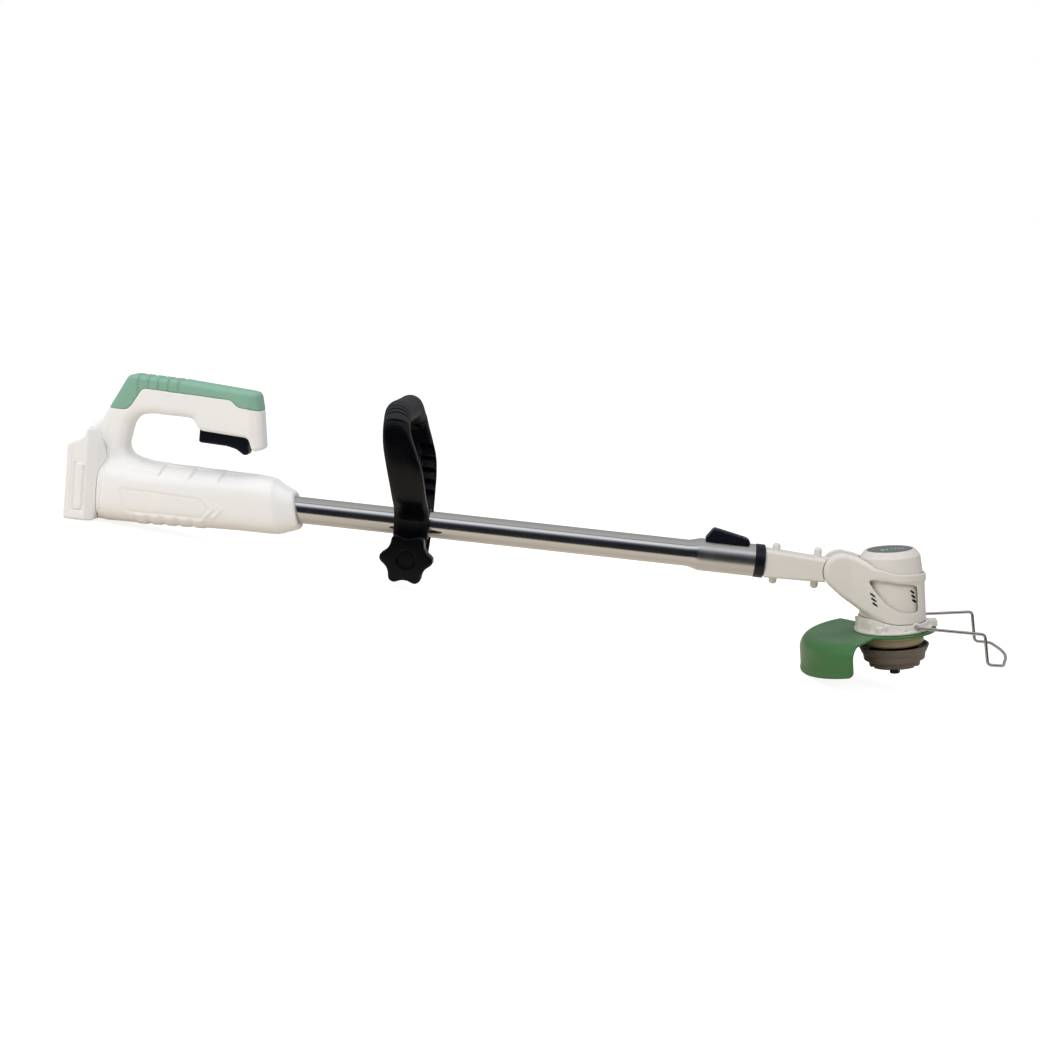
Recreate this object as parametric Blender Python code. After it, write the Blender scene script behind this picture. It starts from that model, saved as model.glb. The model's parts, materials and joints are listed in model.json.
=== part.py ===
"""Cordless string trimmer, collapsed, standing as it is put down: on the heel of its battery dock and
the rear edge of its guard. Metres, +Z up.

Everything is placed in the tool's own frame, which an empty then tilts and lifts onto the floor.
In that frame X runs along the tube towards the cutting head, Z is up through the handle, -Y is the
side with the clamp knob, and the origin is on the tube's axis.
"""
import bpy
import bmesh
from math import atan2, cos, pi, radians, sin, sqrt
from mathutils import Euler, Vector

GAP = 0.0003                  # between two pieces that touch
RUN = 0.0005                  # between a piece that moves and its guide
THROUGH = 0.1000              # how far a cutter runs on past what it cuts

# Main tube: one steel tube whose front end is expanded for the lock
TUBE_RADIUS = 0.0127
TUBE_WALL = 0.0008
TUBE_REAR = -0.3300
FLARE_START = 0.1660
FLARE_FULL = 0.1800
FLARE_RADIUS = 0.0155
TUBE_FRONT = 0.2310

# Sliding extension
INNER_RADIUS = 0.0098
INNER_WALL = 0.0008
INNER_REAR = -0.0400
STOP_HOLES = 6
STOP_PITCH = 0.0400
STOP_HOLE_RADIUS = 0.0025
BUSH_LENGTH = 0.0180
LEAD_SETBACK = 0.0040

# Lock in the expanded end
COLLAR_RADIUS = 0.0161
COLLAR_LENGTH = 0.0090
BUTTON_REAR = 0.1825
BUTTON_LENGTH = 0.0425
BUTTON_WIDTH = 0.0150
BUTTON_PEAK = 0.0265
BUTTON_FRONT_TOP = 0.0205
BUTTON_SKIRT = 0.0040
BUTTON_ROUND = 0.0014
BUTTON_TRAVEL = 0.0050
STEM_WIDTH = 0.0080
STEM_LENGTH = 0.0120
STEM_REAR = BUTTON_REAR + 0.0120
STEM_LOW = INNER_RADIUS + 0.0014
STEM_TOP = FLARE_RADIUS + 0.0030
LOCK_PIN_RADIUS = 0.0020
LOCK_PIN_INSET = 0.0035
LOCK_PIN_TOP = FLARE_RADIUS + 0.0010

# Neck
NECK_WIDTH = 0.0270
NECK_TOP = 0.0125
NECK_BOTTOM = -0.0138
NECK_TAPER = 0.0030
NECK_FRONT = 0.2955
NECK_ROUND = 0.0030
SOCKET_DEPTH = 0.0260
TONGUE_WIDTH = 0.0130
TONGUE_RADIUS = 0.0100
PEG_RADIUS = 0.0031
PEG_HEIGHT = 0.0068
PEG_CROWN = 0.0016
PEG_PLACES = (0.2510, 0.2908)

# Head: its own frame starts at the pivot, and its Z is the spindle's axis
PIVOT_X = 0.3145
HEAD_LEAN = radians(10.0)
PIVOT_DISC = 0.0180
FORK_ROUND = 0.0026
YOKE_ARM = (
    (0.0135, -0.0400), (0.0300, -0.0444), (0.0475, -0.0444), (0.0475, -0.0070), (0.0350, -0.0020),
    (0.0240, 0.0040), (0.0130, 0.0130),
)
YOKE_WINDOW = (
    (0.0248, -0.0100), (0.0300, -0.0085), (0.0590, -0.0140), (0.0625, -0.0180), (0.0620, -0.0380),
    (0.0560, -0.0395), (0.0470, -0.0390), (0.0400, -0.0350), (0.0290, -0.0230), (0.0246, -0.0140),
)
PIVOT_WIDTH = 0.0360
PIVOT_BOLT_RADIUS = 0.0030
PIVOT_SEAT_RADIUS = 0.0062
PIVOT_SEAT_DEPTH = 0.0032
PIVOT_BOLT_REACH = 0.0125
PIVOT_HEAD_HEIGHT = 0.0026
AXIS_X = 0.0475
HOUSING_RADIUS = 0.0302
HOUSING_WALL = 0.0022
CAP_TOP = 0.0172
CAP_RIM = 0.0122
CAP_RIM_RADIUS = HOUSING_RADIUS - 0.0018
CAP_TOP_RADIUS = CAP_RIM_RADIUS - 0.0046
CAP_SEAM = -0.0050
HOUSING_FLOOR = 0.0030
VENT_SIZE = (0.0044, 0.0016)
VENT_SLANT = radians(40.0)
ARM_VENTS = [(-0.0212 + 0.0008 * i, -0.0220 - 0.0045 * i) for i in range(3)]
HOUSING_VENTS = [(0.0168 + 0.0008 * i, -0.0220 - 0.0045 * i) for i in range(3)]
YOKE_TOP = -0.0030
YOKE_WALL = 0.0028
YOKE_RADIUS = HOUSING_RADIUS + YOKE_WALL
YOKE_BOTTOM = -0.0450
COLLAR_FLARE = 0.0012
FLANGE_REACH = 0.0030
COLLAR_RING_TOP = YOKE_RADIUS + COLLAR_FLARE
COLLAR_RING_RADIUS = COLLAR_RING_TOP + FLANGE_REACH
FLANGE_TOP = -0.0575
FLANGE_BOTTOM = -0.0600
COLLAR_RIBS = 8
COLLAR_RIB_WIDTH = 0.0016
COLLAR_RIB_FIRST = radians(80.0)
COLLAR_RIB_SWEEP = radians(200.0)
DISC_RADIUS = CAP_TOP_RADIUS - 0.0023
DISC_THICKNESS = 0.0012
MOTOR_RADIUS = 0.0180
MOTOR_TOP = 0.0080
MOTOR_BOTTOM = -0.0470
MOTOR_SEAT = 0.0100
SHAFT_RADIUS = 0.0025
BEARING_RADIUS = 0.0080
BEARING_HEIGHT = 0.0050

# Guard
GUARD_RADIUS = 0.0900
GUARD_WALL = 0.0026
GUARD_RING_RADIUS = COLLAR_RING_RADIUS + 0.0038
GUARD_HOLE_RADIUS = 0.0246
GUARD_SCREW_REACH = 0.0060
GUARD_SCREW_HEAD = 0.0014
GUARD_BOTTOM = -0.0958
GUARD_ROUND = 0.0140
GUARD_HALF_ANGLE = radians(57.0)
GUARD_CORNER_RISE = 0.0070
GUARD_SCREW_OFFSET = 0.0036
GUARD_SCREW_CIRCLE = HOUSING_RADIUS + GUARD_SCREW_OFFSET
GUARD_SCREW_ANGLES = (radians(120.0), radians(240.0), 0.0)

# Spindle and cutter hub
DRUM_RADIUS = 0.0286
DRUM_BOTTOM = -0.0745
DRUM_NECK_RADIUS = GUARD_HOLE_RADIUS - 2.0 * GAP
DRUM_WALL = 0.0044
DRUM_WEB = 0.0030
DRUM_CHAMFER = 0.0020
HUB_RIM_RADIUS = 0.0338
HUB_TOP = -0.0752
HUB_TIERS = ((0.0338, -0.0825), (0.0300, -0.0895), (0.0250, -0.0960), (0.0065, -0.0970))
HUB_WALL = 0.0024
HUB_BOLT_RADIUS = 0.0050
HUB_BOLT_BOTTOM = -0.1040
HUB_THREAD_RADIUS = 0.0018
HUB_NOTCHES = 6
HUB_NOTCH_LOW = (0.0225, -0.0030, -0.1000)
HUB_NOTCH_HIGH = (0.0300, 0.0030, -0.0945)

# Wire guide
WIRE_RADIUS = 0.0015
GUIDE_X = AXIS_X + 0.0180
GUIDE_Z = -0.0545
GUIDE_HALF_WIDTH = YOKE_RADIUS
GUIDE_ARM = 0.0640
GUIDE_DROP = 0.0290
GUIDE_FOOT = 0.0150
GUIDE_BOW = 0.0080
GUIDE_BEND = 0.0037
GUIDE_TWIST = 0.0045
GUIDE_SLOPE = radians(5.0)
GUIDE_STEP = 0.0040
GUIDE_NARROWING = 0.0010
GUIDE_BOW_WIDTH = 0.86
LUG_RADIUS = 0.0042
LUG_INNER = GUIDE_HALF_WIDTH - 0.0048
GUIDE_END = LUG_INNER - 0.0014
LUG_OUTER = GUIDE_HALF_WIDTH - GUIDE_BEND + GAP

# Body shells: barrel sections as x, top, bottom, half width, lean of the section
BARREL_SECTIONS = (
    (-0.3935, 0.0290, -0.0268, 0.0265, 0.0),
    (-0.3830, 0.0312, -0.0285, 0.0305, 0.0),
    (-0.3600, 0.0312, -0.0278, 0.0312, 0.0),
    (-0.3100, 0.0303, -0.0262, 0.0308, 0.0),
    (-0.2600, 0.0295, -0.0248, 0.0298, 0.0),
    (-0.2360, 0.0285, -0.0248, 0.0288, 0.12),
    (-0.2270, 0.0270, -0.0243, 0.0276, 0.24),
    (-0.2075, 0.0168, -0.0178, 0.0188, 0.24),
)
BARREL_SQUARENESS = 0.72
BODY_WALL = 0.0025
NOSE_WALL = 0.0040
HANDLE_WALL = 0.0050
HANDLE_WIDTH = 0.0340
HANDLE_ROUND = 0.0046
HANDLE_TOP = 0.1130
HANDLE_OUTLINE = (
    (-0.3900, 0.0100), (-0.3915, 0.0446), (-0.4095, 0.0510), (-0.4090, 0.0600),
    (-0.3960, 0.0690), (-0.3908, 0.0795), (-0.3740, HANDLE_TOP), (-0.3260, 0.1122),
    (-0.2525, 0.1078), (-0.2485, 0.0920), (-0.2430, 0.0545), (-0.2535, 0.0515), (-0.2580, 0.0645),
    (-0.3050, 0.0670), (-0.3095, 0.0755), (-0.3160, 0.0775), (-0.3520, 0.0775), (-0.3640, 0.0745),
    (-0.3705, 0.0670), (-0.3745, 0.0440), (-0.3700, 0.0360), (-0.3580, 0.0300), (-0.3450, 0.0100),
)
HANDLE_HOLLOW = (
    (-0.3850, 0.0200), (-0.3850, 0.0485), (-0.4035, 0.0550), (-0.3900, 0.0690), (-0.3850, 0.0800),
    (-0.3710, 0.1078), (-0.3265, 0.1068), (-0.2580, 0.1028), (-0.2550, 0.0910), (-0.2570, 0.0735),
    (-0.3040, 0.0735), (-0.3080, 0.0825), (-0.3540, 0.0825), (-0.3690, 0.0780), (-0.3760, 0.0690),
    (-0.3795, 0.0440), (-0.3740, 0.0330), (-0.3600, 0.0200),
)
COVER_EDGE = (
    (-0.3925, 0.0797), (-0.3745, 0.0797), (-0.3705, 0.0830), (-0.3610, 0.1000), (-0.3580, 0.1013),
    (-0.2760, 0.0992), (-0.2700, 0.0932), (-0.2500, 0.0912), (-0.2380, 0.0925),
)
COVER_THICKNESS = 0.0020
GROOVES = 5
GROOVE_START = -0.3650
GROOVE_PITCH = 0.0094
GROOVE_WIDTH = 0.0016
GROOVE_DEPTH = 0.0011
NOTCH_PLACES = (-0.3340, -0.3050, -0.2790)
NOTCH_RADIUS = 0.0065
NOTCH_LENGTH = 0.0200
NOTCH_DEPTH = 0.0012
SHOULDER = 0.0342
SCREW_PLACES = (
    (-0.3720, -0.0185), (-0.3880, 0.0580), (-0.3350, 0.0885),
    (-0.2530, 0.0832), (-0.2440, 0.0195), (-0.2440, -0.0180),
)
SCREW_RADIUS = 0.0015
SCREW_HEAD_RADIUS = 0.0030
SCREW_HEAD_HEIGHT = 0.0020
SCREW_REACH = 0.0080
SCREW_SEAT = 0.0140
SCREW_SEAT_IN_HANDLE = 0.0105
BOSS_RADIUS = 0.0034
TUBE_RIBS = (-0.3150, -0.2520)
RIB_THICKNESS = 0.0030
TUBE_RIB_TOP = 0.0400
BOARD_REAR = TUBE_REAR - 0.0480
BOARD_LENGTH = 0.0440
BOARD_WIDTH = 0.0400
BOARD_THICKNESS = 0.0016
BOARD_TOP = -0.0080

# Battery dock
DOCK_TONGUE = 0.0050
LEAD_HOLE_RADIUS = 0.0050
DOCK_REAR = -0.4215
DOCK_FRONT = -0.3976
DOCK_TOP = 0.0436
DOCK_BOTTOM = -0.0272
DOCK_WIDTH = 0.0700
DOCK_ROUND = 0.0040
SLOT_WIDTH = 0.0450
SLOT_RAIL = 0.0050
SLOT_LIP = 0.0045
SLOT_DEPTH = 0.0140
SLOT_TOP = 0.0340
TERMINAL_WIDTH = 0.0240
TERMINAL_DEPTH = 0.0060
TERMINAL_BOTTOM = 0.0080
TERMINAL_TOP = 0.0300
BLADE_THICKNESS = 0.0010
BLADE_PROUD = 0.0020
BLADE_MARGIN = 0.0020
BLADE_PITCH = 0.0120

# Trigger and switch
TRIGGER_WIDTH = 0.0160
TRIGGER_REAR = -0.3060
TRIGGER_FRONT = -0.2595
TRIGGER_TOP = 0.0748
TRIGGER_LOW = 0.0450
TRIGGER_SWEEP = 0.0045
TRIGGER_UNDERSIDE = (
    (-0.3045, 0.0548), (-0.2790, 0.0540), (-0.2700, 0.0520), (-0.2630, 0.0476), (-0.2600, 0.0484),
    (-0.2575, 0.0520),
)
TRIGGER_SHOULDER = 0.0650
TRIGGER_HEEL = 0.0560
TRIGGER_PIN_RADIUS = 0.0013
TRIGGER_PIN_LENGTH = 0.0250
TRIGGER_PIN_PLACE = (-0.3015, 0.0706)
SWITCH_BOTTOM = 0.0832
SWITCH_TOP = 0.0990
SWITCH_REAR = -0.2960
SWITCH_FRONT = -0.2610
SWITCH_WIDTH = 0.0230
SPRING_PLACE = -0.2670
SPRING_TURNS = 4
TRIGGER_ROUND = 0.0016
SPRING_RADIUS = 0.0026
SPRING_WIRE = 0.0004

# Loop handle: y, z, x of the centre line, section width along X, section thickness
LOOP_STATIONS = (
    (0.0178, -0.0400, -0.0968, 0.0280, 0.0046),
    (0.0178, -0.0250, -0.0968, 0.0310, 0.0046),
    (0.0178, 0.0020, -0.0968, 0.0330, 0.0046),
    (0.0205, 0.0120, -0.0970, 0.0330, 0.0070),
    (0.0290, 0.0200, -0.0976, 0.0325, 0.0090),
    (0.0400, 0.0290, -0.0988, 0.0322, 0.0100),
    (0.0500, 0.0420, -0.1005, 0.0325, 0.0106),
    (0.0580, 0.0590, -0.1035, 0.0325, 0.0112),
    (0.0625, 0.0750, -0.1080, 0.0300, 0.0122),
    (0.0635, 0.0870, -0.1112, 0.0268, 0.0150),
    (0.0590, 0.0962, -0.1132, 0.0245, 0.0185),
    (0.0490, 0.1032, -0.1145, 0.0225, 0.0215),
)
LOOP_SQUARENESS = 0.6
GRIP_Z = 0.1060
GRIP_X = -0.1150
GRIP_HALF_LENGTH = 0.0380
GRIP_CORE_HALF = 0.0400
GRIP_LIP = 0.0020
GRIP_CORE_RADIUS = 0.0090
GRIP_RADIUS = 0.0122
CLAMP_NUT_RADIUS = 0.0060
CLAMP_NUT_HEIGHT = 0.0040
LINER_WALL = 0.0018
LINER_LENGTH = 0.0310
CLAMP_X = -0.0968
CLAMP_Z = -0.0305
CLAMP_BOLT_RADIUS = 0.0030
KNOB_RADIUS = 0.0252
KNOB_THICKNESS = 0.0150
KNOB_LOBES = 6
KNOB_LOBE_DEPTH = 0.0034
KNOB_LOBE_STEPS = 8
KNOB_RECESS_RADIUS = 0.0090
KNOB_RECESS_DEPTH = 0.0035

TURN_STEPS = 24
ROUND_STEPS = 36
SECTION_POINTS = 20

COLOURS = {
    "white": ((0.86, 0.84, 0.80), 0.45, 0.0),
    "off_white": ((0.69, 0.66, 0.60), 0.5, 0.0),
    "grip_green": ((0.12, 0.32, 0.16), 0.6, 0.0),
    "guard_green": ((0.05, 0.17, 0.05), 0.4, 0.0),
    "black": ((0.006, 0.007, 0.01), 0.45, 0.0),
    "steel": ((0.62, 0.62, 0.62), 0.12, 1.0),
    "dark_steel": ((0.2, 0.2, 0.21), 0.35, 1.0),
    "brass": ((0.7, 0.5, 0.2), 0.25, 1.0),
    "beige": ((0.46, 0.38, 0.24), 0.5, 0.0),
    "taupe": ((0.12, 0.1, 0.08), 0.55, 0.0),
    "board_green": ((0.02, 0.12, 0.05), 0.5, 0.0),
    "display": ((0.06, 0.07, 0.08), 0.2, 0.0),
}


def clear_scene():
    for thing in list(bpy.data.objects):
        bpy.data.objects.remove(thing, do_unlink=True)


def colour(name):
    """A plain shader with one of the part's colours."""
    made = bpy.data.materials.get(name)
    if made is None:
        made = bpy.data.materials.new(name)
        made.use_nodes = True
        shader = made.node_tree.nodes["Principled BSDF"]
        rgb, rough, metal = COLOURS[name]
        shader.inputs["Base Color"].default_value = (*rgb, 1.0)
        shader.inputs["Roughness"].default_value = rough
        shader.inputs["Metallic"].default_value = metal
    return made


def empty(name, place, parent, turn=(0.0, 0.0, 0.0)):
    made = bpy.data.objects.new(name, None)
    bpy.context.collection.objects.link(made)
    made.location = place
    made.rotation_euler = Euler(turn)
    made.parent = parent
    return made


def solid(name, mesh, parent, finish):
    """Link a bmesh as a named piece with outward faces and smooth round sides."""
    bmesh.ops.recalc_face_normals(mesh, faces=mesh.faces)
    data = bpy.data.meshes.new(name)
    mesh.to_mesh(data)
    mesh.free()
    data.shade_smooth()
    data.set_sharp_from_angle(angle=radians(32.0))
    made = bpy.data.objects.new(name, data)
    bpy.context.collection.objects.link(made)
    made.parent = parent
    if finish is None:
        made.hide_render = True
        made.display_type = "WIRE"
    else:
        data.materials.append(colour(finish))
    return made


def loft(name, rings, parent, finish):
    """Join rings of equal length with quads, and close the two ends."""
    mesh = bmesh.new()
    rows = [[mesh.verts.new(point) for point in ring] for ring in rings]
    count = len(rows[0])
    for low, high in zip(rows, rows[1:]):
        for i in range(count):
            j = (i + 1) % count
            mesh.faces.new((low[i], low[j], high[j], high[i]))
    mesh.faces.new(rows[0])
    mesh.faces.new(rows[-1])
    return solid(name, mesh, parent, finish)


def turned(name, profile, parent, finish, centre=(0.0, 0.0, 0.0), axis="Z", steps=TURN_STEPS):
    """Turn a closed profile of (radius, height) points about an axis through centre."""
    mesh = bmesh.new()
    at = Vector(centre)
    rows = []
    for radius, height in profile:
        ring = []
        for i in range(steps if radius > 0.0 else 1):
            angle = 2.0 * pi * i / steps
            a, b = radius * cos(angle), radius * sin(angle)
            local = {"Z": (a, b, height), "X": (height, a, b), "Y": (b, height, a)}[axis]
            ring.append(mesh.verts.new(at + Vector(local)))
        rows.append(ring)
    pairs = list(zip(rows, rows[1:]))
    if len(rows[0]) > 1 or len(rows[-1]) > 1:
        pairs.append((rows[-1], rows[0]))
    for low, high in pairs:
        for i in range(steps):
            j = (i + 1) % steps
            corners = [low[i % len(low)], low[j % len(low)], high[j % len(high)], high[i % len(high)]]
            face = list(dict.fromkeys(corners))
            if len(face) > 2:
                mesh.faces.new(face)
    return solid(name, mesh, parent, finish)


def rod(name, radius, start, end, parent, finish, centre=(0.0, 0.0, 0.0), axis="Z", steps=16):
    """A plain round bar from start to end along an axis through centre."""
    profile = ((0.0, start), (radius, start), (radius, end), (0.0, end))
    return turned(name, profile, parent, finish, centre, axis, steps)


def ring(name, inner, outer, start, end, parent, finish, centre=(0.0, 0.0, 0.0), axis="Z", steps=TURN_STEPS):
    """A plain bush or tube."""
    profile = ((inner, start), (outer, start), (outer, end), (inner, end))
    return turned(name, profile, parent, finish, centre, axis, steps)


def block(name, low, high, parent, finish, round_edges=0.0):
    """A box between two corners, with rounded edges where asked."""
    mesh = bmesh.new()
    bmesh.ops.create_cube(mesh, size=1.0)
    size = [b - a for a, b in zip(low, high)]
    middle = [(a + b) / 2.0 for a, b in zip(low, high)]
    bmesh.ops.scale(mesh, vec=size, verts=mesh.verts)
    bmesh.ops.translate(mesh, vec=middle, verts=mesh.verts)
    if round_edges > 0.0:
        bmesh.ops.bevel(mesh, geom=mesh.edges, offset=round_edges, segments=2, profile=0.5, affect="EDGES")
    return solid(name, mesh, parent, finish)


def prism(name, outline, low, high, parent, finish):
    """An outline in XZ, extruded along Y."""
    rings = [[(x, y, z) for x, z in outline] for y in (low, high)]
    return loft(name, rings, parent, finish)


def inset_outline(outline, distance):
    """Move each side of a clockwise outline inwards by a distance and meet the sides again."""
    count = len(outline)
    area = sum(
        outline[i][0] * outline[(i + 1) % count][1] - outline[(i + 1) % count][0] * outline[i][1]
        for i in range(count)
    )
    way = 1.0 if area > 0.0 else -1.0
    moved = []
    for i in range(count):
        before, here, after = (Vector(outline[k % count]) for k in (i - 1, i, i + 1))
        first = (here - before).normalized()
        second = (after - here).normalized()
        left = Vector((-first.y, first.x)) * way
        right = Vector((-second.y, second.x)) * way
        corner = (left + right).normalized()
        reach = distance / max(corner.dot(left), 0.4)
        moved.append(tuple(here + corner * reach))
    return moved


def rounded_prism(name, outline, half_width, rounding, parent, finish, shrink=0.0, steps=3):
    """An outline in XZ, as wide as half_width each way in Y, with its rims rounded, shrunk all round."""
    rings = []
    width = half_width - shrink
    bend = max(rounding - shrink, 0.001)
    for side in (-1.0, 1.0):
        order = range(steps + 1) if side < 0.0 else range(steps, -1, -1)
        for step in order:
            angle = 0.5 * pi * step / steps
            y = side * (width - bend + bend * cos(angle))
            inward = shrink + bend * (1.0 - sin(angle))
            rings.append([(x, y, z) for x, z in inset_outline(outline, inward)])
    return loft(name, rings, parent, finish)


def combine(target, tool, operation):
    """Join, cut or intersect the target with a tool that is then hidden."""
    change = target.modifiers.new(operation.lower() + "_" + tool.name, "BOOLEAN")
    change.operation = operation
    change.solver = "EXACT"
    change.object = tool
    tool.hide_render = True
    tool.display_type = "WIRE"


def cut(target, *tools):
    for tool in tools:
        combine(target, tool, "DIFFERENCE")


def join(target, tool):
    combine(target, tool, "UNION")


def tube_along(name, points, radius, parent, finish, sides=8):
    """Carry a circle along a path of points, with its frame carried on from point to point."""
    path = [Vector(point) for point in points]
    count = len(path)
    rings = []
    normal = None
    for i in range(count):
        tangent = (path[min(i + 1, count - 1)] - path[max(i - 1, 0)]).normalized()
        if normal is None:
            normal = tangent.orthogonal().normalized()
        normal = (normal - tangent * normal.dot(tangent)).normalized()
        other = tangent.cross(normal)
        rings.append([
            path[i] + radius * (cos(2.0 * pi * k / sides) * normal + sin(2.0 * pi * k / sides) * other)
            for k in range(sides)
        ])
    return loft(name, rings, parent, finish)


def rounded(share, power):
    """A cosine or sine raised to a power with its sign kept, which squares a circle's corners."""
    return abs(share) ** power * (1.0 if share > 0.0 else -1.0)


def helix(centre, radius, low, high, turns, steps_per_turn=10):
    """Points of a coil standing along Z."""
    total = turns * steps_per_turn
    return [
        (
            centre[0] + radius * cos(2.0 * pi * i / steps_per_turn),
            centre[1] + radius * sin(2.0 * pi * i / steps_per_turn),
            low + (high - low) * i / total,
        )
        for i in range(total + 1)
    ]


def barrel_ring(station, shrink):
    """One section of the barrel, a rounded box on a plane that may lean."""
    x, top, bottom, half, lean = station
    middle = (top + bottom) / 2.0
    rise = (top - bottom) / 2.0 - shrink
    points = []
    for i in range(SECTION_POINTS):
        angle = 2.0 * pi * (i + 0.5) / SECTION_POINTS
        y = (half - shrink) * rounded(cos(angle), BARREL_SQUARENESS)
        z = middle + rise * rounded(sin(angle), BARREL_SQUARENESS)
        points.append((x - lean * z, y, z))
    return points


def barrel(name, shrink, parent, finish, rear=0.0, front=0.0):
    """The barrel of the body, shrunk all round, run on by rear at its rear and cut by front at its nose."""
    rings = [barrel_ring(station, shrink) for station in BARREL_SECTIONS]
    if rear > 0.0:
        first = BARREL_SECTIONS[0]
        rings.insert(0, barrel_ring((first[0] - rear, *first[1:]), shrink))
    last = BARREL_SECTIONS[-1]
    rings[-1] = barrel_ring((last[0] - front, *last[1:]), shrink)
    return loft(name, rings, parent, finish)


def handle(name, shrink, parent, finish):
    return rounded_prism(name, HANDLE_OUTLINE, HANDLE_WIDTH / 2.0, HANDLE_ROUND, parent, finish, shrink)


def cover_region(name, parent, drop):
    """The space above the cover's lower edge, let down by drop."""
    outline = [(x, z - drop) for x, z in COVER_EDGE]
    (rear, rear_z), (front, front_z) = COVER_EDGE[0], COVER_EDGE[-1]
    outline += [(front, front_z + THROUGH), (rear - THROUGH, rear_z + THROUGH), (rear - THROUGH, rear_z - drop)]
    return prism(name, outline, -HANDLE_WIDTH, HANDLE_WIDTH, parent, None)


def body_cavity(tool):
    """The hollow of both shells, less the ribs and screw bosses that stand in it."""
    hollow = barrel("cavity_barrel", BODY_WALL, tool, None, THROUGH, NOSE_WALL)
    wide = HANDLE_WIDTH / 2.0 - HANDLE_WALL
    join(hollow, prism("cavity_handle", HANDLE_HOLLOW, -wide, wide, tool, None))
    for i, place in enumerate(TUBE_RIBS):
        low, high = (place, -THROUGH, -THROUGH), (place + RIB_THICKNESS, THROUGH, TUBE_RIB_TOP)
        cut(hollow, block("tube_rib_%d" % i, low, high, tool, None))
    underside = BOARD_TOP - BOARD_THICKNESS - GAP
    for i, place in enumerate((BOARD_REAR, BOARD_REAR + BOARD_LENGTH - RIB_THICKNESS)):
        low, high = (place, -THROUGH, -THROUGH), (place + RIB_THICKNESS, THROUGH, underside)
        cut(hollow, block("board_rib_%d" % i, low, high, tool, None))
    for i, (x, z) in enumerate(SCREW_PLACES):
        cut(hollow, rod("boss_%d" % i, BOSS_RADIUS, -THROUGH, THROUGH, tool, None, (x, 0.0, z), "Y", 12))
    return hollow


def screw_seat(z):
    """How far out along +Y a case screw's head goes, in the narrow handle or in the barrel."""
    return SCREW_SEAT_IN_HANDLE if z > HANDLE_WIDTH else SCREW_SEAT


def screw_profile(shank, wide, tip, seat, top):
    return ((0.0, tip), (shank, tip), (shank, seat), (wide, seat), (wide, top), (0.0, top))


def make_shells(tool):
    """Two moulded halves that meet on the middle plane, with the handle as part of both."""
    outer = barrel("body_outer", 0.0, tool, None)
    join(outer, handle("handle_outer", 0.0, tool, None))
    cut(outer, body_cavity(tool))
    space = cover_region("cover_space", tool, GAP)
    cut(space, handle("cover_core", COVER_THICKNESS + GAP, tool, None))
    cut(outer, space)
    cut(outer, rod("tube_hole", TUBE_RADIUS + GAP, TUBE_REAR - GAP, 0.0, tool, None, axis="X", steps=TURN_STEPS))
    slot_half = TRIGGER_WIDTH / 2.0 + RUN
    cut(outer, block(
        "trigger_slot", (TRIGGER_REAR - 2.0 * RUN, -slot_half, TRIGGER_LOW),
        (TRIGGER_FRONT + TRIGGER_SWEEP, slot_half, TRIGGER_TOP + 2.0 * RUN), tool, None
    ))
    x, z = TRIGGER_PIN_PLACE
    reach = TRIGGER_PIN_LENGTH / 2.0 + GAP
    cut(outer, rod("pin_hole", TRIGGER_PIN_RADIUS + GAP, -reach, reach, tool, None, (x, 0.0, z), "Y", 12))
    for i, place in enumerate(NOTCH_PLACES):
        for side in (-1.0, 1.0):
            cut(outer, notch_tool("notch_%d_%d" % (i, side), place, side, tool))
    for i, (x, z) in enumerate(SCREW_PLACES):
        profile = screw_profile(
            SCREW_RADIUS + GAP, SCREW_HEAD_RADIUS + GAP, -SCREW_REACH - GAP,
            screw_seat(z) - SCREW_HEAD_HEIGHT - GAP, THROUGH
        )
        cut(outer, turned("screw_way_%d" % i, profile, tool, None, (x, 0.0, z), "Y", 12))
    for name, low, high in (("body_shell_right", -THROUGH, -GAP / 2.0), ("body_shell_left", GAP / 2.0, THROUGH)):
        corners = (DOCK_REAR, low, -THROUGH), (0.0, high, HANDLE_TOP + THROUGH)
        combine(block(name, *corners, tool, "white"), outer, "INTERSECT")


def notch_tool(name, place, side, tool):
    """A round bar laid across the barrel's shoulder, which scoops out one shallow thumb notch."""
    made = rod(name, NOTCH_RADIUS, -NOTCH_LENGTH / 2.0, NOTCH_LENGTH / 2.0, tool, None, steps=24)
    out = (SHOULDER - NOTCH_DEPTH + NOTCH_RADIUS) / sqrt(2.0)
    made.location = (place, side * out, out)
    made.rotation_euler = Euler((side * radians(45.0), 0.0, 0.0))
    return made


def make_grip_cover(tool):
    """Soft cover moulded over the top of the handle, with grooves across it."""
    cover = handle("grip_cover", 0.0, tool, "grip_green")
    combine(cover, cover_region("cover_above", tool, 0.0), "INTERSECT")
    cut(cover, handle("cover_inside", COVER_THICKNESS, tool, None))
    for i in range(GROOVES):
        x = GROOVE_START + GROOVE_PITCH * i
        low, high = (x, -THROUGH, HANDLE_TOP - GROOVE_DEPTH), (x + GROOVE_WIDTH, THROUGH, HANDLE_TOP + THROUGH)
        cut(cover, block("groove_%d" % i, low, high, tool, None))


def make_screws(tool):
    for i, (x, z) in enumerate(SCREW_PLACES):
        top = screw_seat(z)
        profile = screw_profile(SCREW_RADIUS, SCREW_HEAD_RADIUS, -SCREW_REACH, top - SCREW_HEAD_HEIGHT, top)
        turned("case_screw_%d" % (i + 1), profile, tool, "dark_steel", (x, 0.0, z), "Y", 12)


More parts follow.
